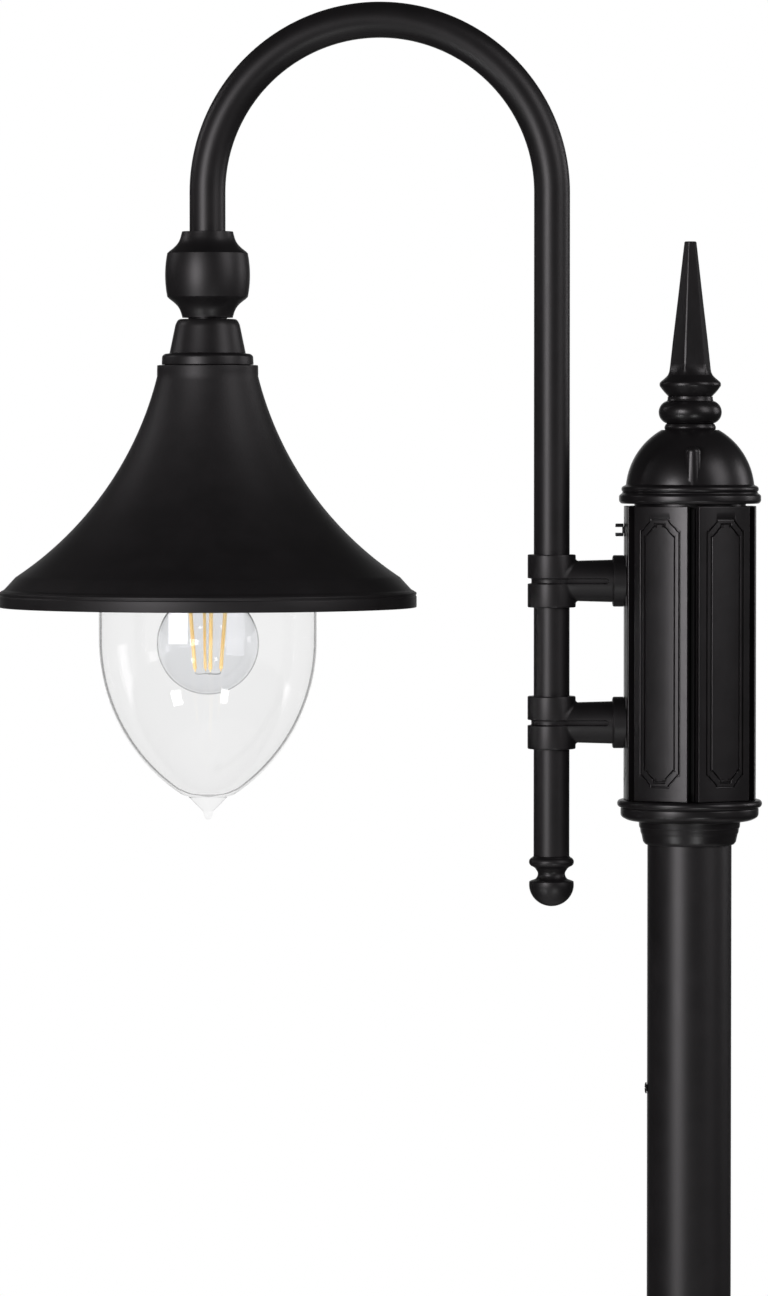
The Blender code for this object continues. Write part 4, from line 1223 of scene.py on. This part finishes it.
@dataclass
class Clamp:
    """One T-clamp: a grooved sleeve round the arm, a branch and a collar fitted to the head."""

    shop: Workshop
    side: str
    groove_half: float = 1.6
    groove_depth: float = 2.2
    groove_wall: float = 0.3
    branch_start: float = 12.0
    branch_end: float = 12.6
    collar_radius: float = 15.3
    root: float = 1.6
    bore: float = 5.3

    def build(self) -> None:
        """Builds the clamp's body, its screw, and the threaded tube and nut that hold it."""
        self.body()
        self.fixings()

    def body(self) -> None:
        """The sleeve with the branch joined on, then bored for the arm, the tube and the screw."""
        node = f"bracket_{self.side}"
        place = Place.of(node)
        axis = Place.of("arm_end_knob").axis
        height, half = place.middle, place.tall / 2
        radius = (axis - place.low.x) / MM
        depth, groove = self.groove_depth, self.groove_half
        sleeve = lathe([[
            (11.05, -half, 0.3), (radius, -half, 0.9), (radius, -groove - 0.1, 0.4),
            (radius - depth, -groove + 0.3, 0.4), (radius - depth, groove - 0.3, 0.4),
            (radius, groove + 0.1, 0.4), (radius, half, 0.9), (11.05, half, 0.3),
        ]], 128).moved(axis, 0, height)
        screw = radial_rod(90, 2.8, 5, 20, height, x=axis)
        way = rod(self.bore, 40).laid((1, 0, 0), (axis + 0.004, 0, height))
        hollow = rod(11.05, 60).moved(axis, 0, height - 0.03)
        piece = self.shop.raw(f"{node}_fine", sleeve)
        self.shop.carve(piece, [self.branch(radius).moved(axis, 0, height)], "UNION")
        self.shop.carve(piece, [hollow, way, screw])
        self.shop.finish(piece, SATIN_TUBE, "head", node)

    def branch(self, sleeve: float) -> Shell:
        """The branch and its collar, along +X from the sleeve's axis.

        Stations run from inside the sleeve outwards. Near the sleeve the radius grows by a quarter
        circle, and the station follows the sleeve's cylinder x = sqrt(R^2 - y^2), so that the root is a
        fillet. The last station follows the slightly rounded face of the head's panel. Round the front
        and back a groove is pressed in, which ends in a half circle before the collar.

        Args:
            sleeve: The sleeve's radius in millimetres.

        Returns:
            The closed shell.
        """
        reach = -Place.of("arm_end_knob").axis / MM
        face, bulge = reach - Place.of("hub_panel_1").high.x / MM - 0.3, 90.0
        fine = np.linspace(-0.24, 0.24, 61)
        turn = np.concatenate([fine, fine + math.pi] + [
            np.linspace(0.28, math.pi - 0.28, 30) + start for start in (0.0, math.pi)
        ])
        turn = np.sort(np.mod(turn, FULL_TURN))
        side, rise = np.cos(turn)[None, :], np.sin(turn)[None, :]
        lift = np.linspace(math.pi / 2, 0, 8)[:, None]
        root_reach = self.branch_start + self.root * (1 - np.cos(lift)) + 0 * side
        root_x = np.sqrt(np.maximum((sleeve - 0.02) ** 2 - (root_reach * side) ** 2, 0.0))
        root_x = root_x + self.root * (1 - np.sin(lift))
        collar_x = reach - 46.0
        tip = collar_x - 2.6
        body_x = np.concatenate([
            np.linspace(16.4, tip - 3.0, 12), np.arange(tip - 2.7, tip + 0.6, 0.18),
            np.linspace(tip + 0.9, collar_x - 0.1, 5),
        ])[:, None]
        share = np.clip((body_x - 14.0) / (collar_x - 14.0), 0, 1)
        body_reach = self.branch_start + (self.branch_end - self.branch_start) * share + 0 * side
        radius = self.collar_radius
        collar = np.array([
            (collar_x, self.branch_end), (collar_x + 0.05, radius - 1.2), (collar_x + 0.3, radius - 0.4),
            (collar_x + 0.9, radius),
        ])
        end = face + bulge - np.sqrt(bulge**2 - (np.array([[radius], [0.5]]) * side) ** 2)
        x = np.concatenate([root_x, body_x + 0 * side, collar[:, :1] + 0 * side, end])
        r = np.concatenate([root_reach, body_reach, collar[:, 1:] + 0 * side,
                            np.array([[radius], [0.5]]) + 0 * side])
        away = np.hypot(np.maximum(x - (tip - self.groove_half), 0.0), r * rise)
        dip = np.clip((self.groove_half + self.groove_wall / 2 - away) / self.groove_wall, 0, 1)
        r = r - self.groove_depth * dip * dip * (3 - 2 * dip) * (x < collar_x - 0.05)
        inner = np.sqrt(np.maximum(12.4**2 - (r[:1] * side) ** 2, 0.0))
        x = np.concatenate([np.full_like(side, 11.5), inner, x, np.full_like(side, face)])
        r = np.concatenate([np.full_like(side, 0.0), r[:1], r, np.full_like(side, 0.0)])
        grid = np.stack([x, r * side, r * rise], axis=-1) * MM
        return Shell.of_grid(grid, wrap_rows=False)

    def fixings(self) -> None:
        """The clamp screw behind the arm, and the brass tube and nut inside the head."""
        shop, side = self.shop, self.side
        axis = Place.of("arm_end_knob").axis
        screw, tube, nut = (Place.of(f"{stem}_{side}") for stem in
                            ("arm_clamp_screw", "bracket_nipple", "bracket_nut"))
        body = lathe([[
            (0, 0, 0), (2.4, 0, 0.3), (2.4, 3.55, 0), (4.2, 3.55, 0.3), (4.2, 7.55, 0.6), (0, 7.55, 0),
        ]], 48)
        socket = hexagon_piece(1.9, 5.0, 9.0, chamfer=0.01)
        origin = (axis, screw.low.y, screw.middle)
        shop.make(f"arm_clamp_screw_{side}", body.laid((0, 1, 0), origin), ZINC, "head",
                  [socket.laid((0, 1, 0), origin)])
        length = (tube.high.x - tube.low.x) / MM
        sleeve = thread(5.0, 0.3, 1.0, 0, length, bore=3.5)
        shop.make(f"bracket_nipple_{side}", sleeve.laid((1, 0, 0), (tube.low.x, 0, tube.middle)), BRASS,
                  "head")
        thick = (nut.high.x - nut.low.x) / MM
        shop.make(f"bracket_nut_{side}", hexagon_piece(8.0, 0, thick, 5.5, both=True).laid(
            (1, 0, 0), (nut.low.x, 0, nut.middle)), BRASS, "head")


# ------------------------------------------------------------------ arm


@dataclass
class SwanNeck:
    """The curved arm, its end knob, the coupling, and the lamp's two inner cables."""

    shop: Workshop
    wall: float = 2.0

    def centreline(self, low: float, end: float, steps: int = 96) -> Array:
        """Up the leg, over a half circle and down, as points of the path in metres."""
        tube = Place.of("arm_tube")
        radius = tube.radius * MM
        leg = tube.high.x - radius
        arch = (leg - tube.low.x - radius) / 2
        crown = tube.top - radius - arch
        angles = np.linspace(0, math.pi, steps)
        up = np.linspace(low, crown, 12, endpoint=False)
        down = np.linspace(crown, end, 8)[1:]
        x = np.concatenate([np.full(len(up), leg), leg + arch * (np.cos(angles) - 1),
                            np.full(len(down), leg - 2 * arch)])
        z = np.concatenate([up, crown + arch * np.sin(angles), down])
        return np.stack([x, 0 * x, z], axis=-1)

    def build(self) -> None:
        """Builds the tube, knob, coupling, screw and cables."""
        shop = self.shop
        tube = Place.of("arm_tube")
        radius = tube.radius * MM
        coupling = Place.of("neck_coupling")
        end = Place.of("coupling_screw").middle - 0.0058
        shell = tube_along(self.centreline(tube.bottom, end), radius, radius - self.wall * MM, columns=72)
        leg = tube.high.x - radius
        hole = rod(4.0, 20).laid((1, 0, 0), (leg + 0.004, 0, Place.of("bracket_upper").middle))
        shop.make("arm_tube", shell, SATIN_TUBE, "arm", cuts=[hole])
        self.knob()
        self.coupling(coupling)
        screw = Place.of("coupling_screw")
        grub = lathe([[(0, 0, 0), (2.4, 0, 0.4), (2.4, 14.0, 0.4), (0, 14.0, 0)]], 48)
        socket = hexagon_piece(1.4, 11.6, 16.0, chamfer=0.01)
        spot = (screw.axis, screw.low.y, screw.middle)
        shop.make("coupling_screw", grub.laid((0, 1, 0), spot), ZINC, "arm",
                  cuts=[socket.laid((0, 1, 0), spot)])
        self.cables()

    def knob(self) -> None:
        """The plug in the tube's lower end: a spigot, a bead, a hollow neck and a ball."""
        place = Place.of("arm_end_knob")
        level = place.level
        self.shop.turned("arm_end_knob", [
            [(0, 0, 0)], arc((0, level(1676.9)), (13.3, 12.9), -84, 8, 26),
            [(12.4, level(1679.2), 1.8), (9.2, level(1680.3), 1.2), (8.1, level(1682.4), 1.5)],
            [(8.1, level(1684.2), 1.5), (9.8, level(1686.8), 1.2)],
            bead((10.6, level(1690.4)), (2.75, 2.8), 74, 14),
            [(11.0, level(1693.7), 0.3), (8.15, level(1693.7), 0), (8.15, place.tall, 0.6),
                     (0, place.tall, 0)],
        ], SATIN_TUBE, "arm")

    def coupling(self, place: Place) -> None:
        """The turned coupling: a coved neck, a barrel with crisp shoulders, and a coved foot."""
        level = place.level
        tall = place.tall
        bulge = np.linspace(-1, 1, 21)
        barrel = np.stack([25.15 - 1.25 * bulge**2, 25.2 + 12.9 * bulge, 0 * bulge], axis=-1)
        self.shop.turned("neck_coupling", [
            [(5.3, -0.75, 0.1), (11.5, -0.75, 0.1), (11.5, 0, 0.1), (15.1, 0, 0.4)],
            cove((15.1, 0.7), (22.6, 11.0), 0.35, upwards=True), barrel,
            cove((15.3, tall - 0.8), (22.8, 39.2), 0.35, upwards=False),
            [(15.2, tall, 0.5), (10.95, tall, 0.3), (10.95, level(2040.2), 0),
                     (5.3, level(2040.2), 0)],
        ], SATIN_TUBE, "arm", cuts=[radial_rod(90, 2.8, 5, 30, Place.of("coupling_screw").middle,
                                               x=place.axis)], columns=128)

    def cables(self) -> None:
        """The head's cable to the upper clamp, and the arm's cable to the lampholder."""
        terminal = Place.of("terminal_block")
        height = Place.of("bracket_upper").middle
        route = [
            (-0.002, 0.0190, terminal.bottom - 0.0003), (-0.002, 0.0188, 1.8685), (-0.003, 0.0176, 1.8645),
            (-0.006, 0.0148, 1.8608), (-0.0105, 0.0100, 1.8585), (-0.0150, 0.0050, height + 0.0003),
            (-0.0195, 0.0015, height), (-0.0235, 0.0, height), (-0.0700, 0.0, height),
        ]
        self.shop.make("hub_cable", tube_along(smooth_path(route), 0.0020, columns=24), RUBBER, "head")
        path = self.centreline(height + 0.003, 2.0380)
        lowest = Place.of("arm_cable").bottom
        drop = np.stack([np.full(10, path[-1, 0]), np.zeros(10), np.linspace(2.0300, lowest, 10)], axis=-1)
        self.shop.make("arm_cable", tube_along(np.concatenate([path, drop]), 0.0022, columns=20), RUBBER,
                       "arm")


def cove(narrow: tuple[float, float], wide: tuple[float, float], hollow: float, upwards: bool,
         steps: int = 14) -> Array:
    """A concave sweep between a narrow and a wide corner of an outline.

    The radius follows the chord less a sine hump of the given share of the chord's height.

    Args:
        narrow: (radius, height) of the narrow end.
        wide: (radius, height) of the wide end.
        hollow: Depth of the hollow as a share of the height.
        upwards: Whether the outline runs from the narrow end to the wide one.
        steps: Number of stretches.

    Returns:
        Corners of the sweep in the outline's order.
    """
    t = np.linspace(0, 1, steps + 1)
    narrow_end, wide_end = np.array(narrow), np.array(wide)
    points = narrow_end + (wide_end - narrow_end) * t[:, None]
    points[:, 0] -= hollow * abs(wide_end[1] - narrow_end[1]) * 0.6 * np.sin(math.pi * t) * (0.6 + 0.4 * t)
    if not upwards:
        points = points[::-1]
    return np.column_stack([points, np.zeros(len(points))])


# ------------------------------------------------------------------ lantern


@dataclass
class Lantern:
    """The shade with its collar and fixings, the gallery, and the lampholder."""

    shop: Workshop
    wall: float = 1.5
    flare_radius: float = 200.9

    def build(self) -> None:
        """Builds everything that hangs on the coupling and stays there."""
        self.collar()
        self.shade()
        self.fixings()
        self.gallery()
        self.holder()

    def collar(self) -> None:
        """The cone over the shade, with a small step at its foot."""
        place = Place.of("shade_collar")
        level = place.level
        self.shop.turned("shade_collar", [
            [(5.3, 0, 0.3), (27.2, 0, 0.2), (27.2, level(1986.2), 0.3), (27.0, level(1990.6), 1.2)],
            [(25.4, level(1991.9), 0.8), (22.6, level(1992.2), 0.4)],
            [(19.0, level(2009.6), 2.0), (17.2, place.tall, 1.4), (5.3, place.tall, 0.3)],
        ], SATIN_TUBE, "arm", columns=128)

    def flare(self, inwards: float, steps: int = 64) -> Array:
        """The trumpet's circular flare in absolute millimetres, moved inwards along its own normal.

        A point at lean a is the start plus R (cos a0 - cos a) outwards and R (sin a - sin a0) down.
        """
        lean = np.radians(np.linspace(14.0, 56.5, steps + 1))
        radius = 30.0 + self.flare_radius * (math.cos(lean[0]) - np.cos(lean))
        height = 1978.5 - self.flare_radius * (np.sin(lean) - math.sin(lean[0]))
        radius = radius - inwards * np.cos(lean)
        height = height - inwards * np.sin(lean)
        return np.column_stack([radius, height, np.zeros(len(lean))])

    def shade(self) -> None:
        """The spun trumpet: a stepped top, the flare, a small shoulder, a bead line and an upright rim."""
        place = Place.of("shade")
        wall, bottom = self.wall, place.bottom / MM
        rim = place.radius
        outer = [
            [(5.3, 1985.2, 0.2), (29.9, 1985.2, 0.6), (30.0, 1982.0, 0.6)],
            self.flare(0.0), [(120.8, 1852.2, 1.0), (122.5, 1851.4, 0.5)],
            arc((rim - 1.1, 1850.0), (1.1, 1.0), 90, 0, 6),
            [(rim - 0.45, 1848.7, 0.2), (rim, 1848.2, 0.3), (rim, bottom, 0.5)],
        ]
        inner = [
            [(rim - wall, bottom, 0.5), (rim - wall, 1848.9, 0.3), (119.9, 1850.6, 0.6)],
            self.flare(wall)[::-1],
            [(28.2, 1982.0, 0.5), (28.0, 1985.2 - wall, 0.5), (5.3, 1985.2 - wall, 0.2)],
        ]
        parts = [part - np.array([0, bottom, 0]) for part in outer + inner]
        self.shop.turned("shade", parts, MATT_SHADE, "arm", columns=192)

    def fixings(self) -> None:
        """The threaded hanging tube, the nut under the shade and the spacer."""
        shop = self.shop
        tube, nut = Place.of("lamp_nipple"), Place.of("shade_nut")
        shop.make("lamp_nipple", thread(5.0, 0.3, 1.0, 0, tube.tall, bore=3.5, columns=48).moved(
            tube.axis, 0, tube.bottom), BRASS, "arm")
        shop.make("shade_nut", hexagon_piece(9.5, 0, nut.tall, 5.5, both=True).moved(
            nut.axis, 0, nut.bottom), BRASS, "arm")
        spacer = Place.of("nipple_spacer")
        shop.turned("nipple_spacer", [[
            (5.5, 0, 0.3), (8.0, 0, 0.5), (8.0, spacer.tall, 0.5), (5.5, spacer.tall, 0.3),
        ]], ZINC, "arm", columns=64)

    def gallery(self) -> None:
        """The spun gallery that the glass screws into, with three rolled thread ridges, and its gasket."""
        place, gasket = Place.of("glass_gallery"), Place.of("gallery_gasket")
        tall = place.tall
        ridges = [bead((48.0, height), (0.75, 1.5), 80, 8) for height in (4.5, 9.5, 14.5)]
        self.shop.turned("glass_gallery", [
            [(46.2, 0, 0.3), (48.4, 0, 0.6)], *ridges,
            [(48.1, tall - 2.2, 1.2), (46.5, tall, 1.4), (5.3, tall, 0.3), (5.3, tall - 2.0, 0.3),
                     (46.2, tall - 2.0, 0.8)],
        ], SATIN_TUBE, "arm", columns=128)
        self.shop.turned("gallery_gasket", [[
            (38.0, 0, 0.4), (45.5, 0, 0.4), (45.5, gasket.tall, 0.4), (38.0, gasket.tall, 0.4),
        ]], RUBBER, "arm")

    def holder(self) -> None:
        """The glazed porcelain lampholder with two shoulders and a ring groove."""
        place = Place.of("lampholder")
        tall = place.tall
        self.shop.turned("lampholder", [[
            (14.9, 0, 0.5), (19.0, 0, 0.8), (20.0, 1.6, 1.0), (20.0, 12.0, 0.3), (19.3, 12.6, 0.3),
            (19.3, 14.0, 0.3), (20.0, 14.6, 0.3), (20.0, tall - 10.0, 1.4), (15.2, tall - 5.8, 1.4),
            (12.2, tall, 0.8), (5.3, tall, 0.4), (5.3, tall - 14.7, 0), (13.9, tall - 14.7, 0.3),
            (13.9, 2.0, 0.5),
        ]], PORCELAIN, "arm")


# ------------------------------------------------------------------ glass and bulb


@dataclass
class Globe:
    """The pointed clear glass with its screw neck and the drop on its tip."""

    shop: Workshop
    wall: float = 2.0
    point_radius: float = 110.0

    def build(self) -> None:
        """The outer and inner walls as one outline: neck, shoulder, straight body, pointed end, drop."""
        place = Place.of("glass_globe")
        bottom, radius = place.bottom / MM, place.radius
        start, shoulder, wall = 1822.3, 1868.0, self.wall
        neck = 45.5
        centre = radius - self.point_radius
        sweep = math.degrees(math.asin(92.0 / self.point_radius))
        outer = [
            arc((centre, start), (self.point_radius,) * 2, -sweep, 0, 72),
            arc((neck, shoulder), (radius - neck, 19.5), 0, 82, 24),
            [(neck, 1890.0, 1.5), (neck, 1893.5, 0.5)],
            bead((neck - 0.9, 1897.0), (1.3, 2.2), 70, 8), bead((neck - 0.9, 1903.5), (1.3, 2.2), 70, 8),
            [(neck, 1907.5, 0.5), (neck, place.top / MM, 0.8)],
        ]
        inner_radius = self.point_radius - wall
        inner = [
            [(neck - wall - 0.4, place.top / MM, 0.8), (neck - wall - 0.4, 1889.0, 1.0)],
            arc((neck - wall, shoulder), (radius - neck, 18.0), 80, 0, 22),
            arc((centre, start), (inner_radius,) * 2, 0, -sweep + 2.0, 60),
            [(11.0, 1731.2, 2.0), (0.0, 1729.6, 0)],
        ]
        drop = [
            [(0, bottom, 0), (1.6, 1715.9, 0.8), (2.4, 1717.6, 0.8), (3.0, 1720.6, 1.0)],
            [(5.4, 1722.6, 1.4), (9.0, 1726.4, 1.5), (11.6, 1729.1, 0.6)],
        ]
        parts = [part - np.array([0, bottom, 0]) for part in drop + outer + inner]
        self.shop.turned("glass_globe", parts, GLOBE_GLASS, "glass", columns=160)


@dataclass
class Bulb:
    """The filament bulb: screw cap, glass, stem with its wires, and four filaments."""

    shop: Workshop
    wall: float = 0.7
    first_azimuth: float = 12.0

    def build(self) -> None:
        """Builds the bulb's pieces."""
        self.cap()
        self.glass()
        self.stem()
        for number in range(1, 5):
            self.filament(f"filament_{number}", self.first_azimuth + 90.0 * (number - 1))

    def cap(self) -> None:
        """A rolled screw shell, a glass insulator's cone and a solder contact."""
        place = Place.of("bulb_cap")
        tall = place.tall
        count = 150
        height = np.linspace(0.8, 19.5, count)
        angles = np.linspace(0, FULL_TURN, 72, endpoint=False)[None, :]
        wave = 0.5 - 0.5 * np.cos(FULL_TURN * height[:, None] / 3.6 - angles)
        fade = np.clip(np.minimum(height - 1.5, 19.5 - height) / 2.0, 0, 1)[:, None]
        reach = 13.25 - 0.9 * wave * fade
        plain = np.ones_like(angles)
        rows_r = [11.6 * plain, 12.9 * plain, reach, 12.4 * plain, 10.5 * plain, 7.4 * plain, 5.2 * plain,
                  4.6 * plain, 0 * plain]
        rows_z = [0.0, 0.0, None, 20.6, 22.8, 24.2, 24.5, tall - 0.4, tall]
        levels = [height[:, None] + 0 * angles if z is None else np.full_like(angles, z) for z in rows_z]
        well_r = [0 * plain, 11.4 * plain, 11.4 * plain]
        well_z = [19.6, 19.6, 0.4]
        r = np.concatenate(well_r + rows_r)
        z = np.concatenate([np.full_like(angles, level) for level in well_z] + levels)
        grid = np.stack([r * np.cos(angles), r * np.sin(angles), z], axis=-1) * MM
        shell = Shell.of_grid(grid, wrap_rows=False).moved(place.axis, 0, place.bottom)
        self.shop.make("bulb_cap", shell, NICKEL, "bulb")

    def profile(self, inwards: float, steps: int = 64) -> Array:
        """The bulb's outline from its open neck to its lowest point, less a wall."""
        place = Place.of("bulb_glass")
        radius = place.radius
        centre = place.bottom / MM + radius
        ball = arc((0, centre), (radius - inwards,) * 2, 50, -90, steps)
        neck = np.array([
            (11.2, place.top / MM, 0), (11.2, 1869.5, 3.0), (12.4, 1860.0, 6.0), (17.2, 1847.3, 5.0),
        ], float)
        neck[:, 0] -= inwards
        ball[-1, 0] = 0.0
        return np.concatenate([neck, ball])

    def glass(self) -> None:
        """The thin blown wall, open at the neck inside the cap."""
        bottom = Place.of("bulb_glass").bottom / MM
        outline = np.concatenate([self.profile(0.0)[::-1], self.profile(self.wall)])
        self.shop.turned("bulb_glass", [outline - np.array([0, bottom, 0])], LAMP_GLASS, "bulb",
                         columns=128)

    def stem(self) -> None:
        """The glass stem: a flared foot, a thin rod, and a small star of wires above and below."""
        place = Place.of("bulb_stem")
        bottom, top = place.bottom / MM, place.top / MM
        foot, low = 1843.0, bottom + 1.8
        shell = lathe([[
            (0, 0.4, 0), (1.6, 0.4, 0.5), (1.9, 1.5, 0.5), (1.1, 2.4, 0.6), (1.1, foot - bottom, 2.0),
            (2.6, foot + 6 - bottom, 4.0), (6.5, 1862.0 - bottom, 4.0), (9.0, 1868.0 - bottom, 2.0),
            (9.0, top - bottom, 0.2), (0, top - bottom, 0),
        ]], 64).moved(place.axis, 0, place.bottom)
        self.shop.make("bulb_stem", shell, LAMP_GLASS, "bulb")
        self.star("bulb_lower_wires", low, 7.7, low - 1.2)
        self.star("bulb_upper_wires", 1841.0, 10.6, 1842.6)

    def star(self, name: str, level: float, reach: float, hub: float) -> None:
        """Four bent wires from the stem to the filaments' ends, as one joined piece."""
        axis = Place.of("bulb_stem").axis
        shells = []
        for number in range(4):
            out = bearing(self.first_azimuth + 90.0 * number) * MM
            rise = np.array([0, 0, MM])
            route = [out * 0.2 + rise * hub, out * reach * 0.5 + rise * (hub - 0.25),
                     out * reach * 0.92 + rise * hub, out * reach + rise * (level - 0.1 + 0.4)]
            shells.append(tube_along(smooth_path(route, 6), 0.00032, columns=10).moved(axis))
        piece = self.shop.raw(name, shells[0])
        self.shop.carve(piece, shells[1:], "UNION")
        self.shop.finish(piece, ZINC, "bulb")

    def filament(self, node: str, azimuth: float) -> None:
        """A slim glass stick coated in phosphor, with a thin tip at each end for its bare metal lead.

        The tips carry the same phosphor finish; the outline's corners are rounded, so that its ends are
        round.
        """
        place = Place.of(node)
        axis = Place.of("bulb_stem").axis
        out = bearing(azimuth)
        low = out * 7.7 * MM + np.array([axis, 0, place.bottom + 0.0002])
        high = out * 10.6 * MM + np.array([axis, 0, place.top - 0.0002])
        length = float(np.linalg.norm(high - low)) / MM
        stick = lathe([
            [(0, 0, 0), (0.45, 0, 0.1), (0.45, 1.4, 0.1), (1.15, 1.6, 0.5)],
            [(1.15, length - 1.6, 0.5), (0.45, length - 1.4, 0.1), (0.45, length, 0.1), (0, length, 0)],
        ], 24)
        self.shop.make(node, stick.laid(high - low, low), PHOSPHOR, "bulb")


# ------------------------------------------------------------------ studio


@dataclass
class Softbox:
    """A large soft light: its place and aim in metres, its size, its strength and its colour."""

    name: str
    place: tuple[float, float, float]
    aim: tuple[float, float, float]
    size: tuple[float, float]
    watts: float
    colour: tuple[float, float, float] = (1.0, 1.0, 1.0)
    spread: float = 180.0  # angle of its beam, in degrees

    def build(self) -> None:
        """Adds the area light, unseen by the camera itself."""
        light = bpy.data.lights.new(self.name, "AREA")
        light.shape, light.size, light.size_y = "RECTANGLE", *self.size
        light.energy, light.color = self.watts, self.colour
        light.spread = math.radians(self.spread)
        stand(self.name, light, self.place, self.aim).visible_camera = False


def stand(name: str, data: bpy.types.ID, place: Point, aim: Point) -> bpy.types.Object:
    """Stands a lamp or a camera at a place and turns it to its aim."""
    made = bpy.data.objects.new(name, data)
    made.location = place
    made.rotation_euler = (Vector(aim) - Vector(place)).to_track_quat("-Z", "Y").to_euler()
    bpy.context.scene.collection.objects.link(made)
    return made


@dataclass
class Studio:
    """Camera, soft lights, a white surround and a pale floor."""

    eye: tuple[float, float, float] = (-0.1815, -3.673, 1.944)
    aim: tuple[float, float, float] = (-0.1815, 0.0, 1.8175)
    focal_length: float = 172.0
    surround: float = 1.0
    fill: float = 0.050
    floor_glow: float = 0.10
    backdrop_core: float = 12.0  # degrees round the far side that are white for every ray
    backdrop_edge: float = 26.0

    def build(self) -> None:
        """Builds the studio."""
        self.camera()
        self.world()
        self.floor()
        target = (-0.15, 0.0, 1.85)
        globe = (-0.285, 0.0, 1.79)
        warm = (1.0, 0.955, 0.985)
        boxes = [
            Softbox("key_softbox", (-1.82, -2.68, 2.20), target, (1.15, 1.05), 49.0, warm),
            Softbox("right_softbox", (2.41, -1.60, 3.19), target, (1.30, 2.20), 28.0, warm),
            Softbox("right_rim", (2.88, 1.10, 2.54), target, (0.90, 1.40), 12.0, warm),
            Softbox("left_rim", (-2.98, 0.90, 3.20), target, (0.60, 1.20), 7.0, warm),
            Softbox("low_left", (-1.61, -1.70, 0.34), globe, (0.46, 0.40), 0.9, spread=55.0),
            Softbox("low_right", (0.52, -2.00, 0.34), globe, (0.34, 0.40), 0.7, spread=55.0),
        ]
        for box in boxes:
            box.build()
        bpy.context.scene.view_settings.view_transform = "Standard"

    def camera(self) -> None:
        """A long lens looking slightly down on the lantern and the head."""
        data = bpy.data.cameras.new("view")
        data.lens, data.sensor_width = self.focal_length, 36.0
        bpy.context.scene.camera = stand("view", data, self.eye, self.aim)

    def world(self) -> None:
        """White to the eye and to light that has come through glass, and dim grey as a light."""
        world = bpy.data.worlds.new("surround")
        world.use_nodes = True
        tree = world.node_tree
        tree.nodes.clear()
        path = add_node(tree, "ShaderNodeLightPath")
        either = add_node(tree, "ShaderNodeMath", {"operation": "MAXIMUM", "use_clamp": True},
                          {0: path.outputs["Is Camera Ray"], 1: path.outputs["Transmission Depth"]})
        direction = add_node(tree, "ShaderNodeTexCoord")
        split = add_node(tree, "ShaderNodeSeparateXYZ", {}, {0: direction.outputs["Generated"]})
        backdrop = add_node(tree, "ShaderNodeMapRange", {}, {
            "Value": split.outputs["Y"], "From Min": math.cos(math.radians(self.backdrop_edge)),
            "From Max": math.cos(math.radians(self.backdrop_core)),
        })
        share = add_node(tree, "ShaderNodeMath", {"operation": "MAXIMUM"},
                         {0: either.outputs[0], 1: backdrop.outputs["Result"]})
        lit = add_node(tree, "ShaderNodeBackground", {}, {"Strength": self.fill})
        seen = add_node(tree, "ShaderNodeBackground", {}, {
            "Color": (1.0, 1.0, 1.0, 1.0), "Strength": self.surround,
        })
        mix = add_node(tree, "ShaderNodeMixShader", {}, {
            0: share.outputs[0], 1: lit.outputs[0], 2: seen.outputs[0],
        })
        add_node(tree, "ShaderNodeOutputWorld", {}, {"Surface": mix.outputs[0]})
        bpy.context.scene.world = world

    def floor(self) -> None:
        """A pale round floor, just under the foot."""
        bench = Bench("pale_floor")
        speck = bench.noise(0.05, detail=3.0)
        material = bench.finish(
            Base_Color=bench.blend(speck.between(0.3, 0.7), (0.78, 0.78, 0.78), (0.82, 0.82, 0.81)),
            Roughness=0.85, Emission_Color=(0.98, 0.98, 0.98, 1.0), Emission_Strength=self.floor_glow,
        )
        shell = lathe([[(0, -10, 0), (1500, -10, 0), (1500, -0.2, 0), (0, -0.2, 0)]], 96)
        floor = bpy.data.objects.new("floor", shell.mesh("floor"))
        floor.data.materials.append(material)
        bpy.context.scene.collection.objects.link(floor)


def main() -> None:
    """Loads the frame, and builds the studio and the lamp's sub-assemblies."""
    logging.basicConfig(level=logging.INFO, format="%(name)s: %(message)s")
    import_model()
    Studio().build()
    shop = Workshop()
    builders: list[tuple[str, Callable[[], None]]] = [
        ("foot", Foot(shop).build), ("post", Post(shop).build), ("head", Head(shop).build),
        ("upper clamp", Clamp(shop, "upper").build), ("lower clamp", Clamp(shop, "lower").build),
        ("swan neck", SwanNeck(shop).build), ("lantern", Lantern(shop).build),
        ("globe", Globe(shop).build), ("bulb", Bulb(shop).build),
    ]
    for title, build in builders:
        LOG.info("building the %s", title)
        build()


if __name__ == "__main__":
    main()
